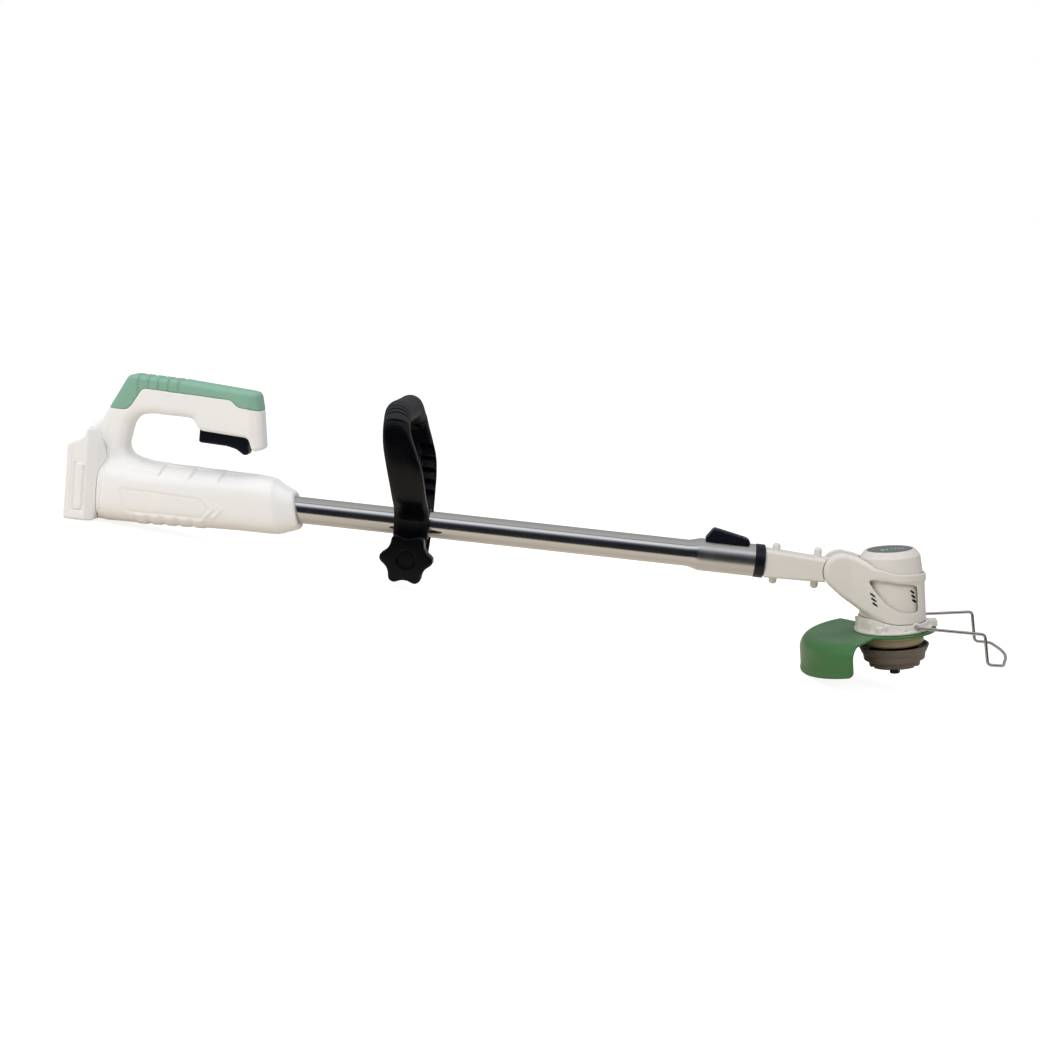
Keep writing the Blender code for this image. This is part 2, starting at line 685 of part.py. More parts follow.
def make_dock(tool):
    """The battery's slide-in dock: a T slot open at the bottom, and a tongue held by the shells."""
    half = DOCK_WIDTH / 2.0
    low, high = (DOCK_REAR, -half, DOCK_BOTTOM), (DOCK_FRONT, half, DOCK_TOP)
    dock = block("battery_dock", low, high, tool, "white", DOCK_ROUND)
    start, *section = BARREL_SECTIONS[0]
    runs = (
        ("dock_neck", DOCK_FRONT - DOCK_TONGUE, start - GAP, 0.0),
        ("dock_tongue", start - DOCK_TONGUE, start + DOCK_TONGUE, BODY_WALL + GAP),
    )
    for name, rear, front, shrink in runs:
        rings = [barrel_ring((x, *section), shrink) for x in (rear, front)]
        join(dock, loft(name, rings, tool, None))
    mouth = SLOT_WIDTH / 2.0
    wide = mouth + SLOT_RAIL
    inner = DOCK_REAR + SLOT_LIP
    low, high = (inner, -wide, DOCK_BOTTOM - THROUGH), (DOCK_REAR + SLOT_DEPTH, wide, SLOT_TOP)
    cut(dock, block("slot_inside", low, high, tool, None))
    low, high = (DOCK_REAR - THROUGH, -mouth, DOCK_BOTTOM - THROUGH), (inner + GAP, mouth, SLOT_TOP)
    cut(dock, block("slot_mouth", low, high, tool, None))
    cut(dock, rod("lead_hole", LEAD_HOLE_RADIUS, DOCK_REAR, 0.0, tool, None, axis="X", steps=12))


def make_terminals(tool):
    """The block in the dock that holds the two blades of the battery's contacts."""
    floor = DOCK_REAR + SLOT_DEPTH - GAP
    half = TERMINAL_WIDTH / 2.0
    face = floor - TERMINAL_DEPTH
    low, high = (face, -half, TERMINAL_BOTTOM), (floor, half, TERMINAL_TOP)
    terminal = block("terminal_block", low, high, tool, "black", 2.0 * GAP)
    for i, side in enumerate((-0.5, 0.5)):
        y = side * BLADE_PITCH
        thin = BLADE_THICKNESS / 2.0
        low = (face - BLADE_PROUD, y - thin, TERMINAL_BOTTOM + BLADE_MARGIN)
        high = (floor - 2.0 * RUN, y + thin, TERMINAL_TOP - BLADE_MARGIN)
        block("terminal_blade_%d" % (i + 1), low, high, tool, "brass")
        low = (face - THROUGH, low[1] - GAP, low[2] - GAP)
        high = tuple(value + GAP for value in high)
        cut(terminal, block("blade_slot_%d" % i, low, high, tool, None))


def make_board(tool):
    half = BOARD_WIDTH / 2.0
    low = (BOARD_REAR, -half, BOARD_TOP - BOARD_THICKNESS)
    block("control_board", low, (BOARD_REAR + BOARD_LENGTH, half, BOARD_TOP), tool, "board_green")


def make_trigger(tool):
    """A curved lever that hangs under the handle and swings up on a pin at its rear end."""
    x, z = TRIGGER_PIN_PLACE
    pivot = empty("trigger_pivot", (x, 0.0, z), tool)
    outline = [(TRIGGER_REAR, TRIGGER_HEEL), *TRIGGER_UNDERSIDE, (TRIGGER_FRONT, TRIGGER_SHOULDER)]
    outline += [(TRIGGER_FRONT, TRIGGER_TOP), (TRIGGER_REAR, TRIGGER_TOP)]
    local = [(a - x, b - z) for a, b in outline]
    trigger = rounded_prism("trigger", local, TRIGGER_WIDTH / 2.0, TRIGGER_ROUND, pivot, "black", 0.0, 2)
    bore = TRIGGER_PIN_RADIUS + GAP
    cut(trigger, rod("trigger_bore", bore, -THROUGH, THROUGH, pivot, None, axis="Y", steps=12))
    reach = TRIGGER_PIN_LENGTH / 2.0
    rod("trigger_pin", TRIGGER_PIN_RADIUS, -reach, reach, tool, "steel", (x, 0.0, z), "Y", 12)
    half = SWITCH_WIDTH / 2.0
    low, high = (SWITCH_REAR, -half, SWITCH_BOTTOM), (SWITCH_FRONT, half, SWITCH_TOP)
    block("switch_module", low, high, tool, "black", 2.0 * GAP)
    clear = SPRING_WIRE + GAP
    coil = helix((SPRING_PLACE, 0.0), SPRING_RADIUS, TRIGGER_TOP + clear, SWITCH_BOTTOM - clear, SPRING_TURNS)
    tube_along("trigger_spring", coil, SPRING_WIRE, tool, "steel", 6)


def stem_window(name, parent):
    """The slot that the lock button's stem slides in, through the tube and its liner."""
    half = STEM_WIDTH / 2.0 + RUN
    low = (STEM_REAR - RUN, -half, 0.0)
    return block(name, low, (STEM_REAR + STEM_LENGTH + BUTTON_TRAVEL + RUN, half, THROUGH), parent, None)


def make_main_tube(tool):
    """A drawn steel tube, polished, whose front end is expanded to take the lock's liner."""
    flare = [
        (TUBE_RADIUS + across * (FLARE_RADIUS - TUBE_RADIUS), FLARE_START + along * (FLARE_FULL - FLARE_START))
        for across, along in ((0.0, 0.0), (0.35, 0.4), (0.8, 0.75), (1.0, 1.0))
    ]
    outer = [(TUBE_RADIUS, TUBE_REAR), *flare, (FLARE_RADIUS, TUBE_FRONT)]
    inner = [(radius - TUBE_WALL, x) for radius, x in reversed(outer)]
    tube = turned("main_tube", outer + inner, tool, "steel", axis="X", steps=ROUND_STEPS)
    cut(tube, stem_window("stem_slot", tool))


def make_lock(tool):
    """The lock's liner with its black collar, the sliding button and the pin it lifts."""
    outside = FLARE_RADIUS - TUBE_WALL - GAP
    inside = INNER_RADIUS + RUN
    rear = FLARE_FULL + 2.0 * RUN
    face = TUBE_FRONT + GAP
    end = face + COLLAR_LENGTH
    profile = (
        (inside, rear), (outside, rear), (outside, face), (COLLAR_RADIUS, face),
        (COLLAR_RADIUS, end - 2.0 * RUN), (COLLAR_RADIUS - 2.0 * RUN, end), (inside, end),
    )
    liner = turned("lock_liner", profile, tool, "black", axis="X", steps=ROUND_STEPS)
    cut(liner, stem_window("liner_slot", tool))
    slide = empty("button_slide", (BUTTON_REAR, 0.0, 0.0), tool)
    low = FLARE_RADIUS - BUTTON_SKIRT
    outline = (
        (0.0, low), (0.0, FLARE_RADIUS + 0.0015), (0.0065, BUTTON_PEAK), (0.0085, BUTTON_PEAK + 0.0004),
        (BUTTON_LENGTH - 0.0030, BUTTON_FRONT_TOP), (BUTTON_LENGTH, BUTTON_FRONT_TOP - 0.0022),
        (BUTTON_LENGTH, low),
    )
    button = rounded_prism("lock_button", outline, BUTTON_WIDTH / 2.0, BUTTON_ROUND, slide, "black", 0.0, 2)
    saddle = FLARE_RADIUS + RUN
    cut(button, rod("button_saddle", saddle, -THROUGH, THROUGH, slide, None, axis="X", steps=ROUND_STEPS))
    rear = STEM_REAR - BUTTON_REAR
    half = STEM_WIDTH / 2.0
    join(button, block("stem", (rear, -half, STEM_LOW), (rear + STEM_LENGTH, half, STEM_TOP), slide, None))
    place = (rear + STEM_LENGTH - LOCK_PIN_INSET, 0.0, 0.0)
    bore = LOCK_PIN_RADIUS + GAP
    cut(button, rod("pin_bore", bore, 0.0, LOCK_PIN_TOP + GAP, slide, None, place, "Z", 12))
    rod("lock_pin", LOCK_PIN_RADIUS, INNER_RADIUS + RUN, LOCK_PIN_TOP, slide, "steel", place, "Z", 12)


def make_extension(tool):
    """The inner tube with its row of stop holes, its rear bush, and the neck with the four pegs."""
    slide = empty("extension_slide", (0.0, 0.0, 0.0), tool)
    socket = TUBE_FRONT + 2.0 * GAP + COLLAR_LENGTH
    end = socket + SOCKET_DEPTH
    inside = INNER_RADIUS - INNER_WALL
    inner = ring(
        "inner_tube", inside, INNER_RADIUS, INNER_REAR, end - GAP, slide, "steel", axis="X", steps=TURN_STEPS
    )
    first = STEM_REAR + STEM_LENGTH - LOCK_PIN_INSET
    for i in range(STOP_HOLES):
        place = (first - i * STOP_PITCH, 0.0, 0.0)
        cut(inner, rod("stop_%d" % i, STOP_HOLE_RADIUS, 0.0, TUBE_RADIUS, slide, None, place, "Z", 12))
    ring(
        "rear_bush", INNER_RADIUS + GAP, TUBE_RADIUS - TUBE_WALL - GAP, INNER_REAR, INNER_REAR + BUSH_LENGTH,
        slide, "black", axis="X"
    )
    outline = (
        (socket, NECK_BOTTOM), (socket, NECK_TOP), (NECK_FRONT, NECK_TOP - NECK_TAPER),
        (NECK_FRONT, NECK_BOTTOM + NECK_TAPER / 2.0),
    )
    neck = rounded_prism("neck", outline, NECK_WIDTH / 2.0, NECK_ROUND, slide, "off_white", 0.0, 2)
    half = TONGUE_WIDTH / 2.0
    root = NECK_FRONT - NECK_ROUND - 2.0 * RUN
    tongue = [(root, -TONGUE_RADIUS), (root, TONGUE_RADIUS)]
    tongue += [
        (PIVOT_X + TONGUE_RADIUS * sin(pi * i / 8.0), TONGUE_RADIUS * cos(pi * i / 8.0)) for i in range(9)
    ]
    join(neck, prism("tongue", tongue, -half, half, slide, None))
    for i, x in enumerate(PEG_PLACES):
        for side, face in ((1.0, NECK_TOP), (-1.0, -NECK_BOTTOM)):
            tip = face + PEG_HEIGHT
            profile = (
                (0.0, 0.0), (PEG_RADIUS, 0.0), (PEG_RADIUS, tip - PEG_CROWN),
                (PEG_RADIUS * 0.7, tip - PEG_CROWN / 4.0), (0.0, tip),
            )
            shape = [(radius, side * height) for radius, height in profile]
            join(neck, turned("peg_%d_%d" % (i, side), shape, slide, None, (x, 0.0, 0.0), "Z", 12))
    bore = INNER_RADIUS + GAP
    cut(neck, rod("neck_socket", bore, 0.0, end, slide, None, axis="X", steps=TURN_STEPS))
    bore, place = PIVOT_BOLT_RADIUS + GAP, (PIVOT_X, 0.0, 0.0)
    cut(neck, rod("tongue_bore", bore, -THROUGH, THROUGH, slide, None, place, "Y"))
    return slide


def cut_vents(target, places, head):
    """Slanted cooling slots on both sides of the spindle, at places given from its axis."""
    length, height = (size / 2.0 for size in VENT_SIZE)
    for i, (x, z) in enumerate(places):
        for side in (-1.0, 1.0):
            near, far = sorted((0.0, side * THROUGH))
            name = "%s_vent_%d_%d" % (target.name, i, side)
            vent = block(name, (-length, near, -height), (length, far, height), head, None)
            vent.location = (AXIS_X + x, 0.0, z)
            vent.rotation_euler = Euler((0.0, VENT_SLANT, 0.0))
            cut(target, vent)


def make_yoke(head):
    """Two moulded halves that carry the motor housing: fork discs at the pivot, arms and a band."""
    arm = [(PIVOT_DISC * cos(a), PIVOT_DISC * sin(a)) for a in (radians(d) for d in range(80, 226, 16))]
    arm += YOKE_ARM
    forks = rounded_prism("yoke_forks", arm, PIVOT_WIDTH / 2.0, FORK_ROUND, head, None, 0.0, 2)
    slot_half = TONGUE_WIDTH / 2.0 + RUN
    reach = AXIS_X - HOUSING_RADIUS - 3.0 * RUN
    seat = PIVOT_WIDTH / 2.0 - PIVOT_SEAT_DEPTH
    bore = HOUSING_RADIUS + 3.0 * GAP
    axis = (AXIS_X, 0.0, 0.0)
    cut(
        forks, block("fork_slot", (-THROUGH, -slot_half, -THROUGH), (reach, slot_half, THROUGH), head, None),
        rod("yoke_pivot", PIVOT_BOLT_RADIUS + GAP, -PIVOT_BOLT_REACH - GAP, THROUGH, head, None, axis="Y"),
        rod("pivot_recess", PIVOT_SEAT_RADIUS, seat, THROUGH, head, None, axis="Y"),
        rod("yoke_bore", bore, -THROUGH, THROUGH, head, None, axis, steps=ROUND_STEPS),
    )
    inside = HOUSING_RADIUS + GAP
    body = ring("yoke_drum", inside, YOKE_RADIUS, YOKE_BOTTOM, YOKE_TOP, head, None, axis, steps=ROUND_STEPS)
    join(body, forks)
    cut(body, prism("yoke_window", YOKE_WINDOW, -THROUGH, THROUGH, head, None))
    cut_vents(body, ARM_VENTS, head)
    for name, low, high in (("head_yoke_right", -THROUGH, -GAP / 2.0), ("head_yoke_left", GAP / 2.0, THROUGH)):
        half = block(name, (-THROUGH, low, -THROUGH), (2.0 * THROUGH, high, THROUGH), head, "off_white")
        combine(half, body, "INTERSECT")


def make_motor_housing(head):
    """The inner housing with its vents, the cap and display over it, and the collar below."""
    centre = (AXIS_X, 0.0, 0.0)
    inside = HOUSING_RADIUS - HOUSING_WALL
    floor = FLANGE_TOP + HOUSING_FLOOR
    hole = MOTOR_RADIUS / 2.0
    profile = (
        (inside, CAP_SEAM - GAP), (HOUSING_RADIUS, CAP_SEAM - GAP), (HOUSING_RADIUS, FLANGE_TOP - GAP),
        (hole, FLANGE_TOP - GAP), (hole, floor), (inside, floor),
    )
    housing = turned("motor_housing", profile, head, "off_white", centre, steps=ROUND_STEPS)
    cut_vents(housing, ARM_VENTS + HOUSING_VENTS, head)
    lid = CAP_TOP - DISC_THICKNESS
    cap_profile = (
        (0.0, lid - 0.0022), (CAP_TOP_RADIUS - 0.0024, lid - 0.0022), (CAP_RIM_RADIUS - 0.0026, CAP_RIM - 0.0010),
        (HOUSING_RADIUS - 0.0026, CAP_SEAM), (HOUSING_RADIUS, CAP_SEAM), (CAP_RIM_RADIUS, CAP_RIM),
        (CAP_RIM_RADIUS - 0.0016, CAP_RIM + 0.0026), (CAP_TOP_RADIUS, CAP_TOP), (DISC_RADIUS + GAP, CAP_TOP),
        (DISC_RADIUS + GAP, lid - GAP), (0.0, lid - GAP),
    )
    turned("top_cap", cap_profile, head, "off_white", centre, steps=ROUND_STEPS)
    disc = ((0.0, lid), (DISC_RADIUS, lid), (DISC_RADIUS, CAP_TOP), (0.0, CAP_TOP))
    turned("display_disc", disc, head, "display", centre, steps=ROUND_STEPS)
    motor_profile = (
        (SHAFT_RADIUS + RUN, MOTOR_BOTTOM), (MOTOR_RADIUS, MOTOR_BOTTOM), (MOTOR_RADIUS, MOTOR_TOP),
        (SHAFT_RADIUS + RUN, MOTOR_TOP),
    )
    turned("motor", motor_profile, head, "dark_steel", centre)
    inner_top = inside - GAP
    seat_profile = (
        (MOTOR_RADIUS + GAP, MOTOR_BOTTOM + MOTOR_SEAT), (inner_top, MOTOR_BOTTOM + MOTOR_SEAT),
        (inner_top, floor + GAP), (BEARING_RADIUS + GAP, floor + GAP), (BEARING_RADIUS + GAP, MOTOR_BOTTOM - GAP),
        (MOTOR_RADIUS + GAP, MOTOR_BOTTOM - GAP),
    )
    turned("motor_mount", seat_profile, head, "black", centre)
    ring(
        "upper_bearing", SHAFT_RADIUS + RUN, BEARING_RADIUS, MOTOR_BOTTOM - GAP - BEARING_HEIGHT,
        MOTOR_BOTTOM - GAP, head, "steel", centre
    )


def make_collar(head):
    """The ribbed ring under the yoke with its foot flange and the wire guide's two lugs."""
    centre = (AXIS_X, 0.0, 0.0)
    bore = HOUSING_RADIUS + GAP
    profile = (
        (bore, YOKE_BOTTOM - GAP), (YOKE_RADIUS, YOKE_BOTTOM - GAP), (COLLAR_RING_TOP, FLANGE_TOP),
        (COLLAR_RING_RADIUS, FLANGE_TOP), (COLLAR_RING_RADIUS, FLANGE_BOTTOM), (bore, FLANGE_BOTTOM),
    )
    collar = turned("base_collar", profile, head, "off_white", centre, steps=ROUND_STEPS)
    for i in range(COLLAR_RIBS):
        rib = block(
            "collar_rib_%d" % i, (YOKE_RADIUS - 0.0015, -COLLAR_RIB_WIDTH / 2.0, FLANGE_TOP - RUN),
            (COLLAR_RING_RADIUS - 0.0012, COLLAR_RIB_WIDTH / 2.0, YOKE_BOTTOM - 0.0025), head, None
        )
        rib.location = centre
        rib.rotation_euler = Euler((0.0, 0.0, COLLAR_RIB_FIRST + COLLAR_RIB_SWEEP * i / (COLLAR_RIBS - 1)))
        join(collar, rib)
    for i, (low, high) in enumerate(((LUG_INNER, LUG_OUTER), (-LUG_OUTER, -LUG_INNER))):
        lug_place = (GUIDE_X, 0.0, GUIDE_Z)
        join(collar, rod("guide_lug_%d" % i, LUG_RADIUS, low, high, head, None, lug_place, "Y", 12))
    bore = WIRE_RADIUS + GAP
    cut(collar, rod("guide_bore", bore, -THROUGH, THROUGH, head, None, (GUIDE_X, 0.0, GUIDE_Z), "Y", 12))
    return collar


def make_guard(head):
    """A moulded guard: a ring under the collar that widens to the rear into a round-shouldered skirt."""
    top = FLANGE_BOTTOM - GAP
    steps = 18
    rows = []
    shoulder = [
        (GUARD_RADIUS - GUARD_ROUND + GUARD_ROUND * sin(a), top - GUARD_ROUND + GUARD_ROUND * cos(a))
        for a in (radians(d) for d in (0, 22, 45, 68, 90))
    ]
    lip = GUARD_RING_RADIUS - 2.0 * GUARD_WALL
    for i in range(steps + 1):
        turn = pi - GUARD_HALF_ANGLE + 2.0 * GUARD_HALF_ANGLE * i / steps
        away = abs(2.0 * i / steps - 1.0)
        bottom = GUARD_BOTTOM + GUARD_CORNER_RISE * away ** 2.0
        outside = [(lip, top)] + shoulder + [(GUARD_RADIUS, bottom)]
        inside = [(GUARD_RADIUS - GUARD_WALL, bottom)]
        for radius, z in reversed(shoulder):
            outward = (radius - GUARD_RADIUS + GUARD_ROUND) / GUARD_ROUND
            upward = max(0.0, (z - top + GUARD_ROUND) / GUARD_ROUND)
            inside.append((radius - GUARD_WALL * outward, z - GUARD_WALL * upward))
        inside.append((lip, top - GUARD_WALL))
        rows.append([(AXIS_X + r * cos(turn), r * sin(turn), z) for r, z in outside + inside])
    guard = loft("guard", rows, head, "guard_green")
    axis = (AXIS_X, 0.0, 0.0)
    join(guard, ring(
        "guard_ring", GUARD_HOLE_RADIUS, GUARD_RING_RADIUS, top - GUARD_WALL, top, head, None, axis,
        steps=ROUND_STEPS
    ))
    for i, place in enumerate(guard_screw_places()):
        hole = SCREW_RADIUS + GAP
        cut(guard, rod("guard_hole_%d" % i, hole, top - THROUGH, top + THROUGH, head, None, place, steps=12))


def guard_screw_places():
    around = GUARD_SCREW_CIRCLE
    return [(AXIS_X + around * cos(angle), around * sin(angle), 0.0) for angle in GUARD_SCREW_ANGLES]


def make_guard_screws(head, collar):
    face = FLANGE_BOTTOM - 2.0 * GAP - GUARD_WALL
    tip = FLANGE_BOTTOM + GUARD_SCREW_REACH
    low = face - GUARD_SCREW_HEAD
    profile = (
        (0.0, low), (SCREW_HEAD_RADIUS, low), (SCREW_HEAD_RADIUS, face), (SCREW_RADIUS, face),
        (SCREW_RADIUS, tip), (0.0, tip),
    )
    for i, place in enumerate(guard_screw_places()):
        turned("guard_screw_%d" % (i + 1), profile, head, "dark_steel", place, steps=12)
        hole = SCREW_RADIUS + GAP
        cut(collar, rod("thread_%d" % i, hole, FLANGE_BOTTOM - RUN, tip + GAP, head, None, place, steps=12))


def make_drum(head):
    """The fixed drum round the spindle, under the guard, that carries the lower bearing."""
    centre = (AXIS_X, 0.0, 0.0)
    top = FLANGE_TOP - 2.0 * GAP
    under = FLANGE_BOTTOM - GAP - GUARD_WALL
    web = under - DRUM_WEB
    bore = BEARING_RADIUS + GAP
    profile = (
        (bore, top), (DRUM_NECK_RADIUS, top), (DRUM_NECK_RADIUS, under - GAP), (DRUM_RADIUS, under - GAP),
        (DRUM_RADIUS, DRUM_BOTTOM + DRUM_CHAMFER), (DRUM_RADIUS - DRUM_CHAMFER, DRUM_BOTTOM),
        (DRUM_RADIUS - DRUM_WALL, DRUM_BOTTOM), (DRUM_RADIUS - DRUM_WALL, web), (bore, web),
    )
    turned("spindle_drum", profile, head, "beige", centre, steps=ROUND_STEPS)
    ring(
        "lower_bearing", SHAFT_RADIUS + RUN, BEARING_RADIUS, web, web + BEARING_HEIGHT, head, "steel", centre
    )


def make_spindle(head):
    """The shaft, the stepped cutter hub and its bolt, which all turn on the spindle's axis."""
    spin = empty("spindle_axis", (AXIS_X, 0.0, 0.0), head)
    seat = HUB_TIERS[-1][1] + HUB_WALL
    rod("motor_shaft", SHAFT_RADIUS, seat + GAP, MOTOR_TOP - 0.0020, spin, "steel", steps=16)
    outer = [(HUB_RIM_RADIUS - 0.0012, HUB_TOP), (HUB_RIM_RADIUS, HUB_TOP - 0.0010)]
    previous = HUB_TOP
    for radius, bottom in HUB_TIERS:
        if radius < HUB_RIM_RADIUS:
            outer.append((radius, previous))
        outer.append((radius, bottom))
        previous = bottom
    bore = HUB_THREAD_RADIUS + GAP
    outer.append((bore, previous))
    inner = [(bore, seat)]
    tops = [bottom + HUB_WALL for _, bottom in HUB_TIERS[-2::-1]] + [HUB_TOP]
    for (radius, bottom), top in zip(reversed(HUB_TIERS), tops):
        inner += [(radius - HUB_WALL, bottom + HUB_WALL), (radius - HUB_WALL, top)]
    hub = turned("cutter_hub", outer + inner, spin, "taupe", steps=ROUND_STEPS)
    for i in range(HUB_NOTCHES):
        notch = block("hub_notch_%d" % i, HUB_NOTCH_LOW, HUB_NOTCH_HIGH, spin, None)
        notch.rotation_euler = Euler((0.0, 0.0, 2.0 * pi * (i + 0.33) / HUB_NOTCHES))
        cut(hub, notch)
    washer_bottom = HUB_TIERS[-1][1] - GAP
    bolt = [(0.0, seat), (HUB_THREAD_RADIUS, seat), (HUB_THREAD_RADIUS, washer_bottom)]
    bolt += [(HUB_BOLT_RADIUS, washer_bottom), (HUB_BOLT_RADIUS, HUB_BOLT_BOTTOM + 0.0008)]
    bolt += [(HUB_BOLT_RADIUS - 0.0008, HUB_BOLT_BOTTOM), (0.0, HUB_BOLT_BOTTOM)]
    turned("hub_bolt", bolt, spin, "black", steps=6)


def bend(corner, before, after, radius, steps=4):
    """Points of a round bend that replaces a corner between two straight runs."""
    corner = Vector(corner)
    first = (Vector(before) - corner).normalized()
    second = (Vector(after) - corner).normalized()
    points = []
    for i in range(steps + 1):
        share = i / steps
        points.append(corner + first * radius * (1.0 - share) ** 2 + second * radius * share ** 2)
    return points


def make_guide(head):
    """A bent spring wire hinged in the collar's lugs, which shows how close the cutter comes."""
    hinge = empty("guide_hinge", (GUIDE_X, 0.0, GUIDE_Z), head, (0.0, GUIDE_SLOPE, 0.0))
    half = GUIDE_HALF_WIDTH
    knee = GUIDE_ARM + GUIDE_STEP
    foot = knee + GUIDE_FOOT
    low = GUIDE_DROP + GUIDE_NARROWING

    def corner_list(side):
        lean = GUIDE_TWIST * side
        return [
            (0.0, side * GUIDE_END, 0.0), (0.0, side * half, 0.0), (GUIDE_ARM, side * half, lean),
            (knee, side * half, lean - GUIDE_DROP), (foot, side * (half - GUIDE_NARROWING), lean - low),
        ]

    bow = [
        (foot + GUIDE_BOW * cos(0.5 * pi * s), half * GUIDE_BOW_WIDTH * s, GUIDE_TWIST * s - low)
        for s in (-0.75, -0.4, 0.0, 0.4, 0.75)
    ]
    corners = corner_list(-1.0) + bow + corner_list(1.0)[::-1]
    points = [Vector(corners[0])]
    for before, corner, after in zip(corners, corners[1:], corners[2:]):
        points += bend(corner, before, after, GUIDE_BEND, 3)
    points.append(Vector(corners[-1]))
    tube_along("wire_guide", points, WIRE_RADIUS, hinge, "steel", 8)


def loop_ring(station, power):
    """One section of the loop, square to its centre line in the YZ plane."""
    (y, z, x, width, thick), (dy, dz) = station
    across = Vector((0.0, -dz, dy)).normalized()
    points = []
    count = 12
    for i in range(count):
        angle = 2.0 * pi * (i + 0.5) / count
        along = width / 2.0 * rounded(cos(angle), power)
        point = Vector((x + along, y, z)) + across * (thick / 2.0 * rounded(sin(angle), power))
        points.append((point.x, -point.y, point.z))
    return points


def make_loop(tool):
    """The second hand's loop: a split moulding clamped round a liner on the tube, with a soft grip."""
    slide = empty("loop_slide", (CLAMP_X, 0.0, 0.0), tool)
    turn = empty("loop_turn", (0.0, 0.0, 0.0), slide)
    liner_inner = TUBE_RADIUS + GAP
    liner_outer = liner_inner + LINER_WALL
    half_liner = LINER_LENGTH / 2.0
    ring("clamp_liner", liner_inner, liner_outer, -half_liner, half_liner, slide, "black", axis="X")
    stations = [(y, z, x - CLAMP_X, w, t) for y, z, x, w, t in LOOP_STATIONS]
    path = [(y, z) for y, z, *_ in stations] + [(GRIP_CORE_HALF, GRIP_Z)]
    rings = []
    for i, station in enumerate(stations):
        before, after = path[max(i - 1, 0)], path[i + 1]
        rings.append(loop_ring((station, (after[0] - before[0], after[1] - before[1])), LOOP_SQUARENESS))
    mirrored = [[(x, -y, z) for x, y, z in row] for row in reversed(rings)]
    core = GRIP_CORE_RADIUS * 2.0
    grip_x = GRIP_X - CLAMP_X
    for y in (GRIP_CORE_HALF, 0.0, -GRIP_CORE_HALF):
        rings.append(loop_ring(((y, GRIP_Z, grip_x, core, core), (-1.0, 0.0)), 1.0))
    loop = loft("loop_handle", rings + mirrored, turn, "black")
    saddle = liner_outer + GAP
    cut(loop, rod("loop_saddle", saddle, -THROUGH, THROUGH, turn, None, axis="X", steps=TURN_STEPS))
    drop = (0.0, 0.0, CLAMP_Z)
    bore = CLAMP_BOLT_RADIUS + GAP
    cut(loop, rod("clamp_bore", bore, -THROUGH, THROUGH, turn, None, drop, "Y", 16))
    inside = GRIP_CORE_RADIUS + GAP
    half = GRIP_HALF_LENGTH
    grip = (
        (inside, -half), (GRIP_RADIUS - GRIP_LIP / 2.0, -half), (GRIP_RADIUS, GRIP_LIP - half),
        (GRIP_RADIUS, half - GRIP_LIP), (GRIP_RADIUS - GRIP_LIP / 2.0, half), (inside, half),
    )
    turned("loop_grip", grip, turn, "black", (grip_x, 0.0, GRIP_Z), "Y", 24)
    ear = LOOP_STATIONS[0][0] + LOOP_STATIONS[0][4] / 2.0
    tip = -ear - KNOB_THICKNESS * 0.6
    nut = ear + GAP
    bolt = (
        (0.0, tip), (CLAMP_BOLT_RADIUS, tip), (CLAMP_BOLT_RADIUS, nut), (CLAMP_NUT_RADIUS, nut),
        (CLAMP_NUT_RADIUS, nut + CLAMP_NUT_HEIGHT), (0.0, nut + CLAMP_NUT_HEIGHT),
    )
    turned("clamp_bolt", bolt, turn, "steel", drop, "Y", 12)
    make_knob(empty("knob_axis", drop, turn), -ear - GAP)


def make_knob(axis, face):
    """The clamp's knob, with lobes round its rim, a dished face and a blind hole for the bolt."""
    rings = []
    count = KNOB_LOBES * KNOB_LOBE_STEPS
    for depth, reach in ((0.0, 0.90), (0.12, 1.0), (0.80, 1.0), (1.0, 0.90)):
        row = []
        for i in range(count):
            angle = 2.0 * pi * (i / count + 0.25)
            dip = KNOB_LOBE_DEPTH * (0.5 - 0.5 * cos(2.0 * pi * i / KNOB_LOBE_STEPS))
            radius = (KNOB_RADIUS - dip) * reach
            row.append((radius * sin(angle), face - KNOB_THICKNESS * depth, radius * cos(angle)))
        rings.append(row)
    knob = loft("clamp_knob", rings, axis, "black")
    floor = face - KNOB_THICKNESS + KNOB_RECESS_DEPTH
    cut(knob, rod("knob_recess", KNOB_RECESS_RADIUS, face - THROUGH, floor, axis, None, axis="Y"))
    bore = CLAMP_BOLT_RADIUS + GAP
    cut(knob, rod("knob_bore", bore, face - KNOB_THICKNESS * 0.65, face + THROUGH, axis, None, axis="Y"))


def make_pivot(head):
    """The head's pivot bolt, put in from the far side and screwed into the near arm."""
    seat = PIVOT_WIDTH / 2.0 - PIVOT_SEAT_DEPTH + GAP
    top = seat + PIVOT_HEAD_HEIGHT
    wide = PIVOT_SEAT_RADIUS - 2.0 * GAP
    bolt = (
        (0.0, -PIVOT_BOLT_REACH), (PIVOT_BOLT_RADIUS, -PIVOT_BOLT_REACH), (PIVOT_BOLT_RADIUS, seat),
        (wide, seat), (wide, top - 2.0 * GAP), (wide - 2.0 * GAP, top), (0.0, top),
    )
    turned("pivot_bolt", bolt, head, "dark_steel", axis="Y", steps=16)


def make_lead(tool):
    """The curly lead inside the tubes, as the plain round space that its coils fill."""
    end = TUBE_FRONT + COLLAR_LENGTH + SOCKET_DEPTH
    start = TUBE_REAR + LEAD_SETBACK
    radius = INNER_RADIUS - INNER_WALL - RUN
    rod("curly_lead", radius, start, end - LEAD_SETBACK, tool, "black", axis="X", steps=16)


